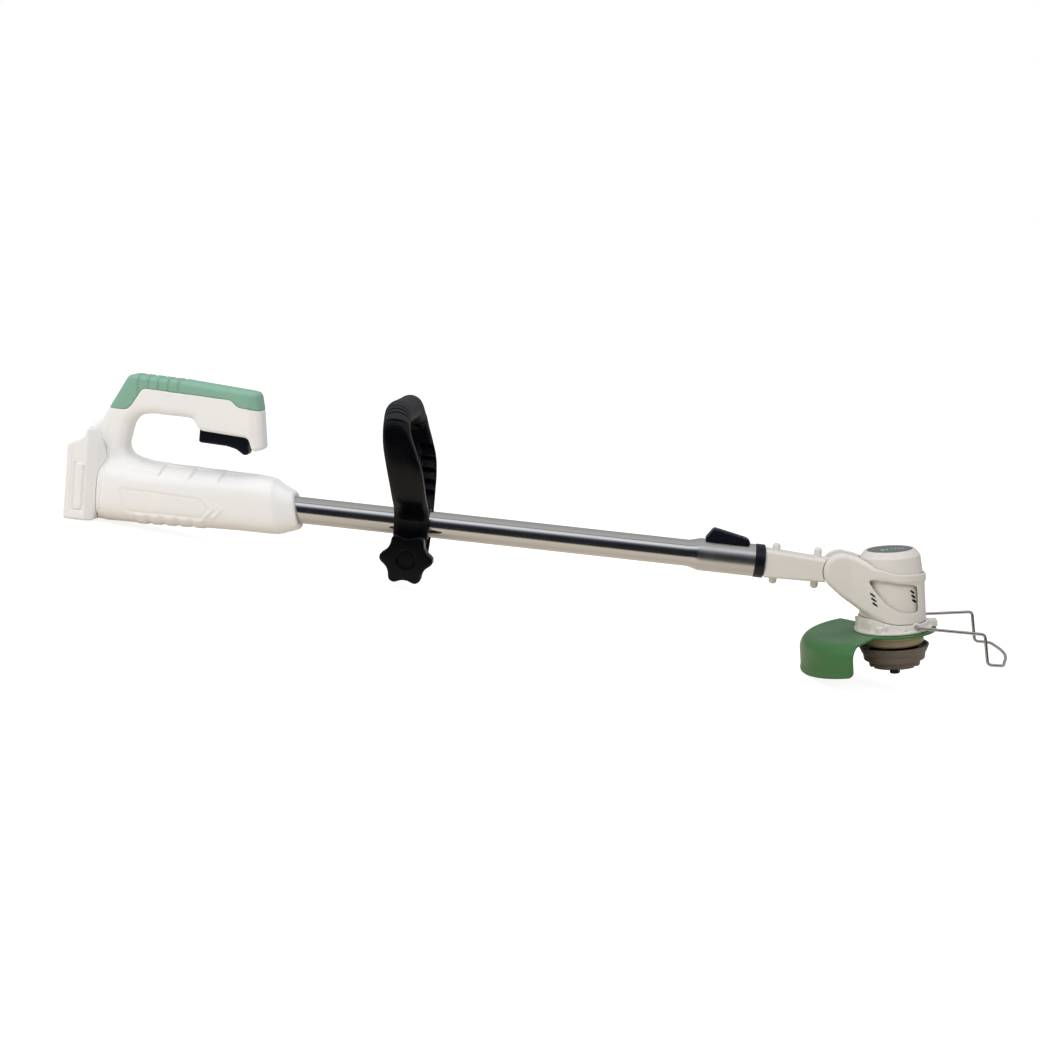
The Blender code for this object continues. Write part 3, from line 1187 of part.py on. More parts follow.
def stand_on_floor(tool):
    """Tilt the tool until dock heel and guard edge are level, then lift and centre it."""
    heel = Vector((DOCK_REAR + DOCK_ROUND, DOCK_BOTTOM))
    out, down = AXIS_X - GUARD_RADIUS, GUARD_BOTTOM
    edge = Vector((
        PIVOT_X + out * cos(HEAD_LEAN) - down * sin(HEAD_LEAN), out * sin(HEAD_LEAN) + down * cos(HEAD_LEAN)
    ))
    line = edge - heel
    tool.rotation_euler = Euler((0.0, -atan2(-line.y, line.x), 0.0))
    bpy.context.view_layer.update()
    graph = bpy.context.evaluated_depsgraph_get()
    corners = []
    for thing in bpy.data.objects:
        if thing.type == "MESH" and not thing.hide_render:
            shape = thing.evaluated_get(graph)
            corners += [shape.matrix_world @ vertex.co for vertex in shape.data.vertices]
    low = Vector(min(corner[i] for corner in corners) for i in range(3))
    high = Vector(max(corner[i] for corner in corners) for i in range(3))
    tool.location = (-(low.x + high.x) / 2.0, -(low.y + high.y) / 2.0, -low.z)
    bpy.context.view_layer.update()


def build():
    clear_scene()
    tool = empty("tool", (0.0, 0.0, 0.0), None)
    make_shells(tool)
    make_grip_cover(tool)
    make_screws(tool)
    make_dock(tool)
    make_terminals(tool)
    make_board(tool)
    make_trigger(tool)
    make_main_tube(tool)
    make_lock(tool)
    extension = make_extension(tool)
    make_loop(tool)
    make_lead(tool)
    head = empty("head_pivot", (PIVOT_X, 0.0, 0.0), extension, (0.0, -HEAD_LEAN, 0.0))
    make_yoke(head)
    make_pivot(head)
    make_motor_housing(head)
    collar = make_collar(head)
    make_guard(head)
    make_guard_screws(head, collar)
    make_drum(head)
    make_spindle(head)
    make_guide(head)
    stand_on_floor(tool)


build()
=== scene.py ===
"""Looks of the cordless string trimmer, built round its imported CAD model.

Lengths are in metres. Pieces are worked out in the tool's frame or the head's frame, and then carried
into the row frame. The tool's frame has X along the tube towards the cutting head, Z up through the
handle and -Y on the clamp knob's side. The head's frame starts on the tilt pivot, with Z up its spindle.
"""
import json
from functools import reduce
from math import atan2, cos, pi, radians, sin
import bmesh
import bpy
import numpy as np
from mathutils import Matrix, Vector


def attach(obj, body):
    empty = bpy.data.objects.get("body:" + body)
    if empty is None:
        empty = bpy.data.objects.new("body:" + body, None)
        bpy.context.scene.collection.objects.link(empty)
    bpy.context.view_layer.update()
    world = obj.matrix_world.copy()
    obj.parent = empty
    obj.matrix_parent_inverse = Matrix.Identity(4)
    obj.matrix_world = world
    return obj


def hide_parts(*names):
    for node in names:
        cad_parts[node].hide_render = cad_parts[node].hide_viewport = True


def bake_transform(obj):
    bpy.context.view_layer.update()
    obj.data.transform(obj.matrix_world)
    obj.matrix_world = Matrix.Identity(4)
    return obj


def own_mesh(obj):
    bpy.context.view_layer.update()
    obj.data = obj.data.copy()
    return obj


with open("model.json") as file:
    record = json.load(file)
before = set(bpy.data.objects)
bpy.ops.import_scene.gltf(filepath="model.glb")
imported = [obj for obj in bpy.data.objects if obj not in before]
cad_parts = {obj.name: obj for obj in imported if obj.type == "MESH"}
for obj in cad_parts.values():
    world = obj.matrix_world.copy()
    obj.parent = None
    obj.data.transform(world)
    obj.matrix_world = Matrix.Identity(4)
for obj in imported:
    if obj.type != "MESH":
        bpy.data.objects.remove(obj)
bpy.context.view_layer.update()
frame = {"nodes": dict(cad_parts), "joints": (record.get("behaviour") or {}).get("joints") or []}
joint = {entry["name"]: entry for entry in frame["joints"]}
scene = bpy.context.scene


# Studio: the photograph's camera, a white sweep, a soft box above the camera, and a dark room behind the
# camera that the polished steel mirrors. The floor throws warm light back under the tool.
clamp_x = -0.0968
along = np.array(joint["tube_extension"]["axis"])
upright = np.array((-along[2], 0.0, along[0]))
tool_origin = np.array(joint["loop_turn"]["pos_m"]) - clamp_x * along
tool = (np.stack((along, (0.0, 1.0, 0.0), upright)), tool_origin)


def carry(points, place):
    """Points in a frame to points in the row frame: each is a sum of the frame's axes, plus its origin."""
    return points @ place[0] + place[1]


def set_camera():
    """The camera in the tool's frame, pitched 8 degrees down and rolled 6.31 degrees about its view."""
    pitch, roll = radians(8.0), radians(6.31)
    ahead = np.array((0.0, cos(pitch), -sin(pitch)))
    level = np.array((0.0, sin(pitch), cos(pitch)))
    sideways = np.array((1.0, 0.0, 0.0))
    axes = np.stack((
        cos(roll) * sideways + sin(roll) * level, cos(roll) * level - sin(roll) * sideways, -ahead
    )) @ tool[0]
    data = bpy.data.cameras.new("camera")
    data.lens, data.sensor_width, data.shift_x = 58.85, 36.0, -0.09
    made = bpy.data.objects.new("camera", data)
    scene.collection.objects.link(made)
    turn = np.eye(4)
    turn[:3, :3] = axes.T
    turn[:3, 3] = carry(np.array((0.0933, -1.6079, 0.2496)), tool)
    made.matrix_world = Matrix(turn.tolist())
    scene.camera = made


def add_node(tree, kind, inputs, **settings):
    """A shader node with its settings, each input set to a value or linked from another node's socket."""
    made = tree.nodes.new("ShaderNode" + kind)
    for name, value in settings.items():
        setattr(made, name, value)
    for name, value in inputs.items():
        if isinstance(value, bpy.types.NodeSocket):
            tree.links.new(value, made.inputs[name])
        else:
            made.inputs[name].default_value = value
    return made


def new_finish(name):
    """A material with nodes, its node tree and its main shader."""
    made = bpy.data.materials.new(name)
    made.use_nodes = True
    return made, made.node_tree, made.node_tree.nodes["Principled BSDF"]


def blend_colours(tree, share, low, high):
    """The colour that lies a share of the way from low to high."""
    return add_node(tree, "Mix", {0: share, 6: low, 7: high}, data_type="RGBA").outputs[2]


def bands(tree, value, stops):
    """A colour ramp of grey or coloured stops, given as (position, colour)."""
    made = add_node(tree, "ValToRGB", {"Fac": value})
    ramp_stops = made.color_ramp.elements
    while len(ramp_stops) < len(stops):
        ramp_stops.new(1.0)
    for stop, (position, colour) in zip(ramp_stops, stops):
        stop.position = position
        stop.color = (*colour, 1.0)
    return made.outputs["Color"]


def set_world():
    """White to the camera, an even sky to dull surfaces, and to gloss the bands of a studio, by the angle
    of the view round the X axis: 0.5 is level towards the camera's side, 0.75 is straight up."""
    world = bpy.data.worlds.new("studio")
    scene.world = world
    world.use_nodes = True
    tree = world.node_tree
    view = add_node(tree, "SeparateXYZ", {0: add_node(tree, "TexCoord", {}).outputs["Generated"]})
    front = add_node(tree, "Math", {0: view.outputs["Y"], 1: -1.0}, operation="MULTIPLY")
    angle = add_node(tree, "Math", {0: view.outputs["Z"], 1: front.outputs[0]}, operation="ARCTAN2")
    share = add_node(tree, "MapRange", {"Value": angle.outputs[0], "From Min": -pi, "From Max": pi})
    room = bands(tree, share.outputs[0], (
        (0.0, (0.30, 0.27, 0.24)), (0.43, (0.02, 0.02, 0.022)), (0.560, (0.02, 0.02, 0.022)),
        (0.600, (0.10, 0.12, 0.17)), (0.645, (0.95, 0.96, 1.0)), (0.690, (1.0, 1.0, 1.0)),
        (0.700, (0.20, 0.20, 0.21)), (0.730, (0.58, 0.58, 0.57)), (0.93, (0.40, 0.40, 0.40)),
        (1.0, (0.22, 0.22, 0.23)),
    ))
    path = add_node(tree, "LightPath", {}).outputs
    sky = blend_colours(tree, path["Is Glossy Ray"], (0.36, 0.36, 0.37, 1.0), room)
    seen = blend_colours(tree, path["Is Camera Ray"], sky, (1.0, 1.0, 1.0, 1.0))
    tree.links.new(seen, tree.nodes["Background"].inputs["Color"])


def add_lamp(name, place, target, size, power, tint):
    """A soft rectangular lamp that faces a target and isn't seen itself."""
    data = bpy.data.lights.new(name, "AREA")
    data.shape, data.size, data.size_y = "RECTANGLE", size[0], size[1]
    data.energy, data.color = power, tint
    made = bpy.data.objects.new(name, data)
    scene.collection.objects.link(made)
    made.location = place
    made.rotation_mode = "QUATERNION"
    made.rotation_quaternion = (Vector(place) - Vector(target)).to_track_quat("Z", "Y")
    made.visible_camera = False
    made.visible_glossy = False


def add_floor():
    """A pale floor: white with a faint shadow to the camera, warm to everything that it throws light on."""
    data = bpy.data.meshes.new("floor")
    reach = 60.0
    corners = [(-reach, -reach, 0.0), (reach, -reach, 0.0), (reach, reach, 0.0), (-reach, reach, 0.0)]
    data.from_pydata(corners, [], [(0, 1, 2, 3)])
    floor = bpy.data.objects.new("floor", data)
    scene.collection.objects.link(floor)
    made, tree, shader = new_finish("floor_sweep")
    tree.nodes.remove(shader)
    spot = add_node(tree, "SeparateXYZ", {0: add_node(tree, "TexCoord", {}).outputs["Object"]})
    near = add_node(tree, "MapRange", {"Value": spot.outputs["Y"], "From Min": -0.22, "From Max": -0.13})
    warm = (0.78, 0.70, 0.59, 1.0)
    mirrored = blend_colours(tree, near.outputs[0], (0.03, 0.03, 0.03, 1.0), warm)
    path = add_node(tree, "LightPath", {}).outputs
    colour = blend_colours(tree, path["Is Glossy Ray"], warm, mirrored)
    dull = add_node(tree, "BsdfDiffuse", {"Color": colour})
    pale = add_node(tree, "BsdfDiffuse", {"Color": (0.95, 0.95, 0.95, 1.0)})
    white = add_node(tree, "Emission", {"Color": (1.0, 1.0, 1.0, 1.0), "Strength": 1.45})
    sweep = add_node(tree, "MixShader", {0: 0.40, 1: white.outputs[0], 2: pale.outputs[0]})
    seen = add_node(tree, "MixShader", {0: path["Is Camera Ray"], 1: dull.outputs[0], 2: sweep.outputs[0]})
    tree.links.new(seen.outputs[0], tree.nodes["Material Output"].inputs["Surface"])
    data.materials.append(made)


set_camera()
set_world()
add_floor()
add_lamp("soft_box", (0.0, -1.3, 1.3), (0.0, 0.0, 0.1), (2.2, 0.9), 14.0, (1.0, 0.998, 0.99))
add_lamp("top_light", (-0.2, 0.3, 1.6), (0.0, 0.0, 0.1), (2.4, 1.2), 12.5, (0.99, 0.995, 1.0))
add_lamp("left_light", (-1.5, -0.8, 0.6), (-0.2, 0.0, 0.1), (0.8, 0.8), 4.5, (0.98, 0.99, 1.0))
scene.view_settings.view_transform = "Standard"


# Main tube: a drawn and polished steel tube of 25.4 mm, expanded at its front end to take the lock's
# liner. The expanded end is brushed duller. A slot under the button lets the button's stem through.
tube_radius, tube_wall, tube_rear, tube_front = 0.0127, 0.0008, -0.3300, 0.2310
flare_start, flare_full, flare_radius = 0.1660, 0.1800, 0.0155
gap, run = 0.0003, 0.0005
stem_rear, stem_length, stem_width, button_travel = 0.1945, 0.0120, 0.0080, 0.0050


def shade(red, green, blue):
    """A colour as read off a screen, 0 to 255, as linear light."""
    parts = np.array((red, green, blue)) / 255.0
    linear = np.where(parts < 0.04045, parts / 12.92, ((parts + 0.055) / 1.055) ** 2.4)
    return (*linear.tolist(), 1.0)


def tool_space(tree):
    """Places in the tool's frame, for a pattern that runs along or across the tube."""
    return add_node(tree, "Mapping", {
        "Vector": add_node(tree, "TexCoord", {}).outputs["Object"],
        "Location": tool_origin.tolist(), "Rotation": (0.0, -atan2(along[2], along[0]), 0.0),
    }, vector_type="TEXTURE").outputs[0]


def steel(name, colour, rough, streak, spread, dull_from=None):
    """Drawn steel: gloss that varies in long thin streaks along the tool's X axis, and faint smudges."""
    made, tree, shader = new_finish(name)
    place = tool_space(tree)
    drawn = add_node(tree, "Mapping", {"Vector": place, "Scale": streak})
    lines = add_node(tree, "TexNoise", {"Vector": drawn.outputs[0], "Scale": 1.0, "Detail": 3.0})
    smudge = add_node(tree, "TexNoise", {"Vector": place, "Scale": 45.0, "Detail": 4.0})
    both = add_node(tree, "Math", {0: lines.outputs["Fac"], 1: smudge.outputs["Fac"]}, operation="MULTIPLY")
    gloss = add_node(tree, "MapRange", {
        "Value": both.outputs[0], "From Min": 0.12, "From Max": 0.40,
        "To Min": rough, "To Max": rough + spread,
    })
    rough_socket = gloss.outputs[0]
    if dull_from is not None:
        spot = add_node(tree, "SeparateXYZ", {0: place})
        dull = add_node(tree, "MapRange", {
            "Value": spot.outputs["X"], "From Min": dull_from, "From Max": dull_from + 0.004, "To Max": 0.20,
        })
        rough_socket = add_node(tree, "Math", {0: rough_socket, 1: dull.outputs[0]}).outputs[0]
    bump = add_node(tree, "Bump", {"Height": lines.outputs["Fac"], "Strength": 0.08, "Distance": 0.00004})
    shader.inputs["Base Color"].default_value = colour
    shader.inputs["Metallic"].default_value = 1.0
    tree.links.new(rough_socket, shader.inputs["Roughness"])
    tree.links.new(bump.outputs[0], shader.inputs["Normal"])
    return made


def add_piece(name, points, faces, finish, recalc=True, crease=35.0):
    """A mesh of one piece: its seams and poles welded, its faces outwards, smooth but for its creases."""
    data = bpy.data.meshes.new(name)
    data.from_pydata(points.tolist(), [], faces.tolist())
    weld = bmesh.new()
    weld.from_mesh(data)
    bmesh.ops.remove_doubles(weld, verts=weld.verts, dist=0.000002)
    if recalc:
        bmesh.ops.recalc_face_normals(weld, faces=weld.faces)
    weld.to_mesh(data)
    weld.free()
    data.shade_smooth()
    data.set_sharp_from_angle(angle=radians(crease))
    data.materials.append(finish)
    made = bpy.data.objects.new(name, data)
    scene.collection.objects.link(made)
    return made


def net_faces(rows, columns):
    """Quads of a grid of points that closes on itself both ways."""
    i, j = np.meshgrid(np.arange(rows), np.arange(columns), indexing="ij")
    ahead, beside = (i + 1) % rows, (j + 1) % columns
    corners = (i * columns + j, i * columns + beside, ahead * columns + beside, ahead * columns + j)
    return np.stack(corners, axis=-1).reshape(-1, 4)


def eased(outline, radius, steps=6):
    """A closed outline whose corners are rounded: each becomes a parabola that starts and ends a radius
    away along its two sides, or half a side where that is shorter."""
    corner = np.array(outline, float)
    before, after = np.roll(corner, 1, axis=0) - corner, np.roll(corner, -1, axis=0) - corner
    share = np.linspace(0.0, 1.0, steps + 1)[None, :, None]
    reach = []
    for side in (before, after):
        length = np.maximum(np.linalg.norm(side, axis=1, keepdims=True), 1e-9)
        reach.append(side * np.minimum(radius / length, 0.5))
    bend = corner[:, None] + reach[0][:, None] * (1.0 - share) ** 2 + reach[1][:, None] * share ** 2
    return bend.reshape(-1, 2)


def turned(name, profile, finish, place, axis="X", centre=(0.0, 0.0, 0.0), steps=96, crease=35.0):
    """A surface of revolution: every profile point (radius, height) is carried round the axis."""
    profile = np.array(profile)
    turn = np.linspace(0.0, 2.0 * pi, steps, endpoint=False)
    radius, height = np.broadcast_arrays(profile[:, :1], profile[:, 1:])
    across = radius * np.cos(turn), radius * np.sin(turn), height + 0.0 * turn
    order = {"X": (2, 0, 1), "Y": (1, 2, 0), "Z": (0, 1, 2)}[axis]
    points = np.stack([across[k] for k in order], axis=-1).reshape(-1, 3) + np.array(centre)
    return add_piece(name, carry(points, place), net_faces(len(profile), steps), finish, crease=crease)


def settle(piece, body, slot, *nodes):
    """A finished piece rides on its body and stands for its CAD nodes; its slot is not used."""
    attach(piece, body)
    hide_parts(*nodes)
    return piece


def cut_box(piece, low, high, place):
    """Cut a box, given by two corners in a frame, out of a piece, and keep the result as its mesh."""
    corner = np.array([[(low, high)[k][i] for i, k in enumerate(way)] for way in np.ndindex(2, 2, 2)])
    sides = ((0, 1, 3, 2), (4, 6, 7, 5), (0, 4, 5, 1), (2, 3, 7, 6), (0, 2, 6, 4), (1, 5, 7, 3))
    tool_piece = add_piece("cutter", carry(corner, place), np.array(sides), piece.data.materials[0])
    change = piece.modifiers.new("cut", "BOOLEAN")
    change.operation, change.solver, change.object = "DIFFERENCE", "EXACT", tool_piece
    shape = piece.evaluated_get(bpy.context.evaluated_depsgraph_get())
    data = bpy.data.meshes.new_from_object(shape)
    piece.modifiers.clear()
    piece.data = data
    bpy.data.objects.remove(tool_piece)
    data.shade_smooth()
    data.set_sharp_from_angle(angle=radians(35.0))


flare_share = np.linspace(0.0, 1.0, 16)
flare = np.stack((
    tube_radius + (flare_radius - tube_radius) * flare_share ** 2 * (3.0 - 2.0 * flare_share),
    flare_start + (flare_full - flare_start) * flare_share,
), axis=1)
outer = np.vstack(((tube_radius, tube_rear), flare, (flare_radius, tube_front)))
inner = (outer - (tube_wall, 0.0))[::-1]
polished = steel("polished_steel_tube", (0.66, 0.655, 0.65, 1.0), 0.07, (1.5, 260.0, 260.0), 0.10, 0.1735)
tube = turned("tube_main", np.vstack((outer, inner)), polished, tool, steps=144)
slot_low = (stem_rear - run, -stem_width / 2.0 - run, 0.0)
slot_high = (stem_rear + stem_length + button_travel + run, stem_width / 2.0 + run, 0.03)
cut_box(tube, slot_low, slot_high, tool)
settle(tube, "tool", "polished_steel", "main_tube")


# Inner tube: a thinner steel tube that slides in the main one, drilled along its top with the row of
# holes that the lock's pin drops into. It keeps its CAD shape.
inner_radius = 0.0098


def finish_node(name, finish):
    """Give a piece that keeps its CAD shape its real material."""
    data = frame["nodes"][name].data
    data.materials.clear()
    data.materials.append(finish)


sliding_steel = steel("sliding_tube_steel", (0.62, 0.62, 0.62, 1.0), 0.14, (2.0, 260.0, 260.0), 0.12)
finish_node("inner_tube", sliding_steel)


# Moulded shapes: a solid is given as a distance to its surface, negative inside, so that neighbouring
# forms run into one another with the round fillets of a moulding. The body's two half shells are white
# nylon-filled plastic: a barrel round the tube's rear and a closed handle that grows out of its top.
# Each station of the barrel is its place along X, its top, its bottom and its half width.
barrel_stations = np.array((
    (-0.3935, 0.0300, -0.0273, 0.0292), (-0.3860, 0.0310, -0.0283, 0.0306),
    (-0.3600, 0.0312, -0.0278, 0.0312), (-0.3100, 0.0303, -0.0262, 0.0308),
    (-0.2600, 0.0295, -0.0248, 0.0298), (-0.2360, 0.0285, -0.0248, 0.0288),
    (-0.2270, 0.0270, -0.0243, 0.0276), (-0.2075, 0.0168, -0.0178, 0.0188),
))
handle_outline = eased((
    (-0.3900, 0.0100), (-0.3915, 0.0446), (-0.4095, 0.0510), (-0.4090, 0.0600),
    (-0.3960, 0.0690), (-0.3908, 0.0795), (-0.3740, 0.1130), (-0.3260, 0.1122),
    (-0.2525, 0.1078), (-0.2485, 0.0920), (-0.2430, 0.0545), (-0.2535, 0.0515), (-0.2580, 0.0645),
    (-0.3050, 0.0670), (-0.3095, 0.0755), (-0.3160, 0.0775), (-0.3520, 0.0775), (-0.3640, 0.0745),
    (-0.3705, 0.0670), (-0.3745, 0.0440), (-0.3700, 0.0360), (-0.3580, 0.0300), (-0.3450, 0.0100),
), 0.0045)
grip_opening = eased((
    (-0.3580, 0.0300), (-0.3700, 0.0360), (-0.3745, 0.0440), (-0.3705, 0.0670), (-0.3640, 0.0745),
    (-0.3520, 0.0775), (-0.3160, 0.0775), (-0.3110, 0.0760), (-0.3110, 0.0300),
), 0.0045)
cover_edge = (
    (-0.3925, 0.0797), (-0.3745, 0.0797), (-0.3705, 0.0830), (-0.3610, 0.1000), (-0.3580, 0.1013),
    (-0.2760, 0.0992), (-0.2700, 0.0932), (-0.2500, 0.0912), (-0.2380, 0.0925),
)
cover_outline = eased((*cover_edge, (-0.2380, 0.2000), (-0.5000, 0.2000), (-0.5000, 0.0797)), 0.003)
screw_places = (
    (-0.3720, -0.0185), (-0.3880, 0.0580), (-0.3350, 0.0885),
    (-0.2530, 0.0832), (-0.2440, 0.0195), (-0.2440, -0.0180),
)
barrel_rear, barrel_front = barrel_stations[0, 0], barrel_stations[-1, 0]
handle_half, body_wall, cover_depth, root_round = 0.0170, 0.0025, 0.0020, 0.0070
handle_round, finger_round = 0.0048, 0.0095
screw_bore, screw_head, screw_boss = 0.0018, 0.0033, 0.0034
panel_sunk, upper_sunk, notch_sunk, line_sunk = 0.0006, 0.0007, 0.0019, 0.0009
chevron_proud, pad_proud = 0.0009, 0.0009
rib_half, rib_tops = 0.0015, ((-0.3135, 0.0400), (-0.2505, 0.0400), (-0.3765, -0.0099), (-0.3355, -0.0099))


def ramp(value, low, high):
    """0 below low, 1 above high, and a smooth S between them."""
    share = np.clip((value - low) / (high - low), 0.0, 1.0)
    return share * share * (3.0 - 2.0 * share)


def outline_distance(outline, u, v):
    """Distance from (u, v) to the nearest side of a closed outline, negative where a ray from the point
    crosses the outline an odd number of times."""
    shape = np.broadcast(u, v).shape
    nearest, inside = np.full(shape, np.inf), np.zeros(shape, bool)
    for (a, b), (c, d) in zip(outline, np.roll(outline, -1, axis=0)):
        length = (c - a) ** 2 + (d - b) ** 2
        if length < 1e-14:
            continue
        share = np.clip(((u - a) * (c - a) + (v - b) * (d - b)) / length, 0.0, 1.0)
        nearest = np.minimum(nearest, np.hypot(u - a - share * (c - a), v - b - share * (d - b)))
        if b != d:
            inside ^= ((b > v) != (d > v)) & (u < (c - a) * (v - b) / (d - b) + a)
    return np.where(inside, -nearest, nearest)


def meet(*distances):
    """Where all the distances are negative: the greatest of them."""
    return reduce(np.maximum, distances)


def join(*distances):
    """Where any of the distances is negative: the least of them."""
    return reduce(np.minimum, distances)


def slab(first, second, radius):
    """Where two distances are both negative, with the edge between them rounded to a radius."""
    a, b = first + radius, second + radius
    return np.minimum(np.maximum(a, b), 0.0) + np.hypot(np.maximum(a, 0.0), np.maximum(b, 0.0)) - radius


def box(spot, low, high, radius):
    """A box between two corners with all its edges rounded."""
    sides = [np.abs(p - (a + b) / 2.0) - (b - a) / 2.0 + radius for p, a, b in zip(spot, low, high)]
    outside = np.sqrt(sum(np.maximum(side, 0.0) ** 2 for side in sides))
    return outside + np.minimum(meet(*sides), 0.0) - radius


def fuse(first, second, width):
    """The nearer of two distances, with a fillet of a width where they meet."""
    share = np.clip(0.5 + 0.5 * (second - first) / width, 0.0, 1.0)
    return second + (first - second) * share - width * share * (1.0 - share)


def carve(solid_part, hollow, width):
    """A solid less a hollow, the edge between them eased to a width."""
    return -fuse(-solid_part, hollow, width)


def moulding(name, distance, low, high, pitch, finish, place):
    """The surface where distance(x, y, z) is zero: one point in each cell of a grid that it crosses, the
    mean of where it cuts the cell's edges, and a quad round each grid edge that it cuts."""
    spans = [np.arange(a - pitch, b + 2.0 * pitch, pitch) for a, b in zip(low, high)]
    value = distance(*np.meshgrid(*spans, indexing="ij", sparse=True))
    value = np.ascontiguousarray(np.broadcast_to(value, [len(span) for span in spans]))
    inside = value < 0.0
    corner = np.array(list(np.ndindex(2, 2, 2)))
    size = np.array(inside.shape) - 1
    held = sum(inside[i:i + size[0], j:j + size[1], k:k + size[2]].astype(np.int8) for i, j, k in corner)
    cell = np.argwhere((held > 0) & (held < 8))
    at = cell[:, None] + corner
    depth = value[at[..., 0], at[..., 1], at[..., 2]]
    first, second = np.array([(a, b) for a in range(8) for b in range(a, 8) if bin(a ^ b).count("1") == 1]).T
    crossed = (depth[:, first] < 0.0) != (depth[:, second] < 0.0)
    share = depth[:, first] / np.where(crossed, depth[:, first] - depth[:, second], 1.0)
    on_edge = corner[first] + share[..., None] * (corner[second] - corner[first])
    middle = (on_edge * crossed[..., None]).sum(axis=1) / crossed.sum(axis=1, keepdims=True)
    points = (cell + middle) * pitch + np.array([span[0] for span in spans])
    number = np.full(held.shape, -1)
    number[tuple(cell.T)] = np.arange(len(cell))
    faces = []
    for way in range(3):
        step_u, step_v = np.eye(3, dtype=int)[[(way + 1) % 3, (way + 2) % 3]]
        change = np.diff(inside.astype(np.int8), axis=way)
        edge = np.argwhere(change)
        quad = np.stack((edge - step_u - step_v, edge - step_v, edge, edge - step_u), axis=1)
        ring = number[quad[..., 0], quad[..., 1], quad[..., 2]]
        entering = change[tuple(edge.T)] > 0
        ring[entering] = ring[entering, ::-1]
        faces.append(ring)
    return add_piece(name, carry(points, place), np.vstack(faces), finish, recalc=False, crease=60.0)


def plastic(name, colour, rough, grain, depth, mottle=0.02, shine=0.5):
    """Moulded plastic: the fine grain of the mould in relief, and faint mottling of colour and gloss."""
    made, tree, shader = new_finish(name)
    place = add_node(tree, "TexCoord", {}).outputs["Object"]
    fine = add_node(tree, "TexNoise", {
        "Vector": place, "Scale": 1.0 / grain, "Detail": 3.0, "Roughness": 0.6,
    })
    broad = add_node(tree, "TexNoise", {"Vector": place, "Scale": 28.0, "Detail": 4.0})
    low = (*(part * (1.0 - mottle) for part in colour[:3]), 1.0)
    high = (*(min(part * (1.0 + mottle), 1.0) for part in colour[:3]), 1.0)
    tint = blend_colours(tree, broad.outputs["Fac"], low, high)
    gloss = add_node(tree, "MapRange", {
        "Value": broad.outputs["Fac"], "From Min": 0.3, "From Max": 0.7, "To Min": rough - 0.05,
        "To Max": rough + 0.05,
    })
    bump = add_node(tree, "Bump", {"Height": fine.outputs["Fac"], "Strength": 0.5, "Distance": depth})
    tree.links.new(tint, shader.inputs["Base Color"])
    tree.links.new(gloss.outputs[0], shader.inputs["Roughness"])
    tree.links.new(bump.outputs[0], shader.inputs["Normal"])
    shader.inputs["Specular IOR Level"].default_value = shine
    return made


def barrel(x, y, z, power=2.95):
    """A rounded box section |y/half|^p + |z/rise|^p = 1 whose size follows x, and whose plane leans at
    the nose. The distance is how far the sum's p-th root is from 1, over its slope."""
    station = x + z * np.interp(x, (-0.2600, -0.2360, -0.2270), (0.0, 0.12, 0.24))
    top, bottom, half = (np.interp(station, barrel_stations[:, 0], barrel_stations[:, k]) for k in (1, 2, 3))
    u = np.abs(y) / half
    v = np.abs(z - (top + bottom) / 2.0) * 2.0 / (top - bottom)
    norm = (u ** power + v ** power + 1e-9) ** (1.0 / power)
    slope = np.hypot((u / norm) ** (power - 1.0) / half, (v / norm) ** (power - 1.0) * 2.0 / (top - bottom))
    section = (norm - 1.0) / slope
    return meet(slab(section, station - barrel_front, 0.0015), barrel_rear - x)


def handle(x, y, z):
    """The handle's outline as thick as it is wide, narrowed by a bevel on each side of its front post, with
    a wider round along the opening for the fingers."""
    bevel = np.maximum(x + 0.2592 + 0.125 * (z - 0.0910), 0.0)
    side = (np.abs(y) - handle_half + 0.38 * bevel) / (1.0 + 0.07 * (bevel > 0.0))
    outside = slab(outline_distance(handle_outline, x, z), side, handle_round)
    return meet(outside, slab(-outline_distance(grip_opening, x, z), side, finger_round))


def stripe(u, v, start, end, half_width, edge):
    """1 on a straight stroke between two points, falling to 0 over its edge."""
    (a, b), (c, d) = start, end
    share = np.clip(((u - a) * (c - a) + (v - b) * (d - b)) / ((c - a) ** 2 + (d - b) ** 2), 0.0, 1.0)
    away = np.hypot(u - a - share * (c - a), v - b - share * (d - b))
    return 1.0 - ramp(away, half_width, half_width + edge)


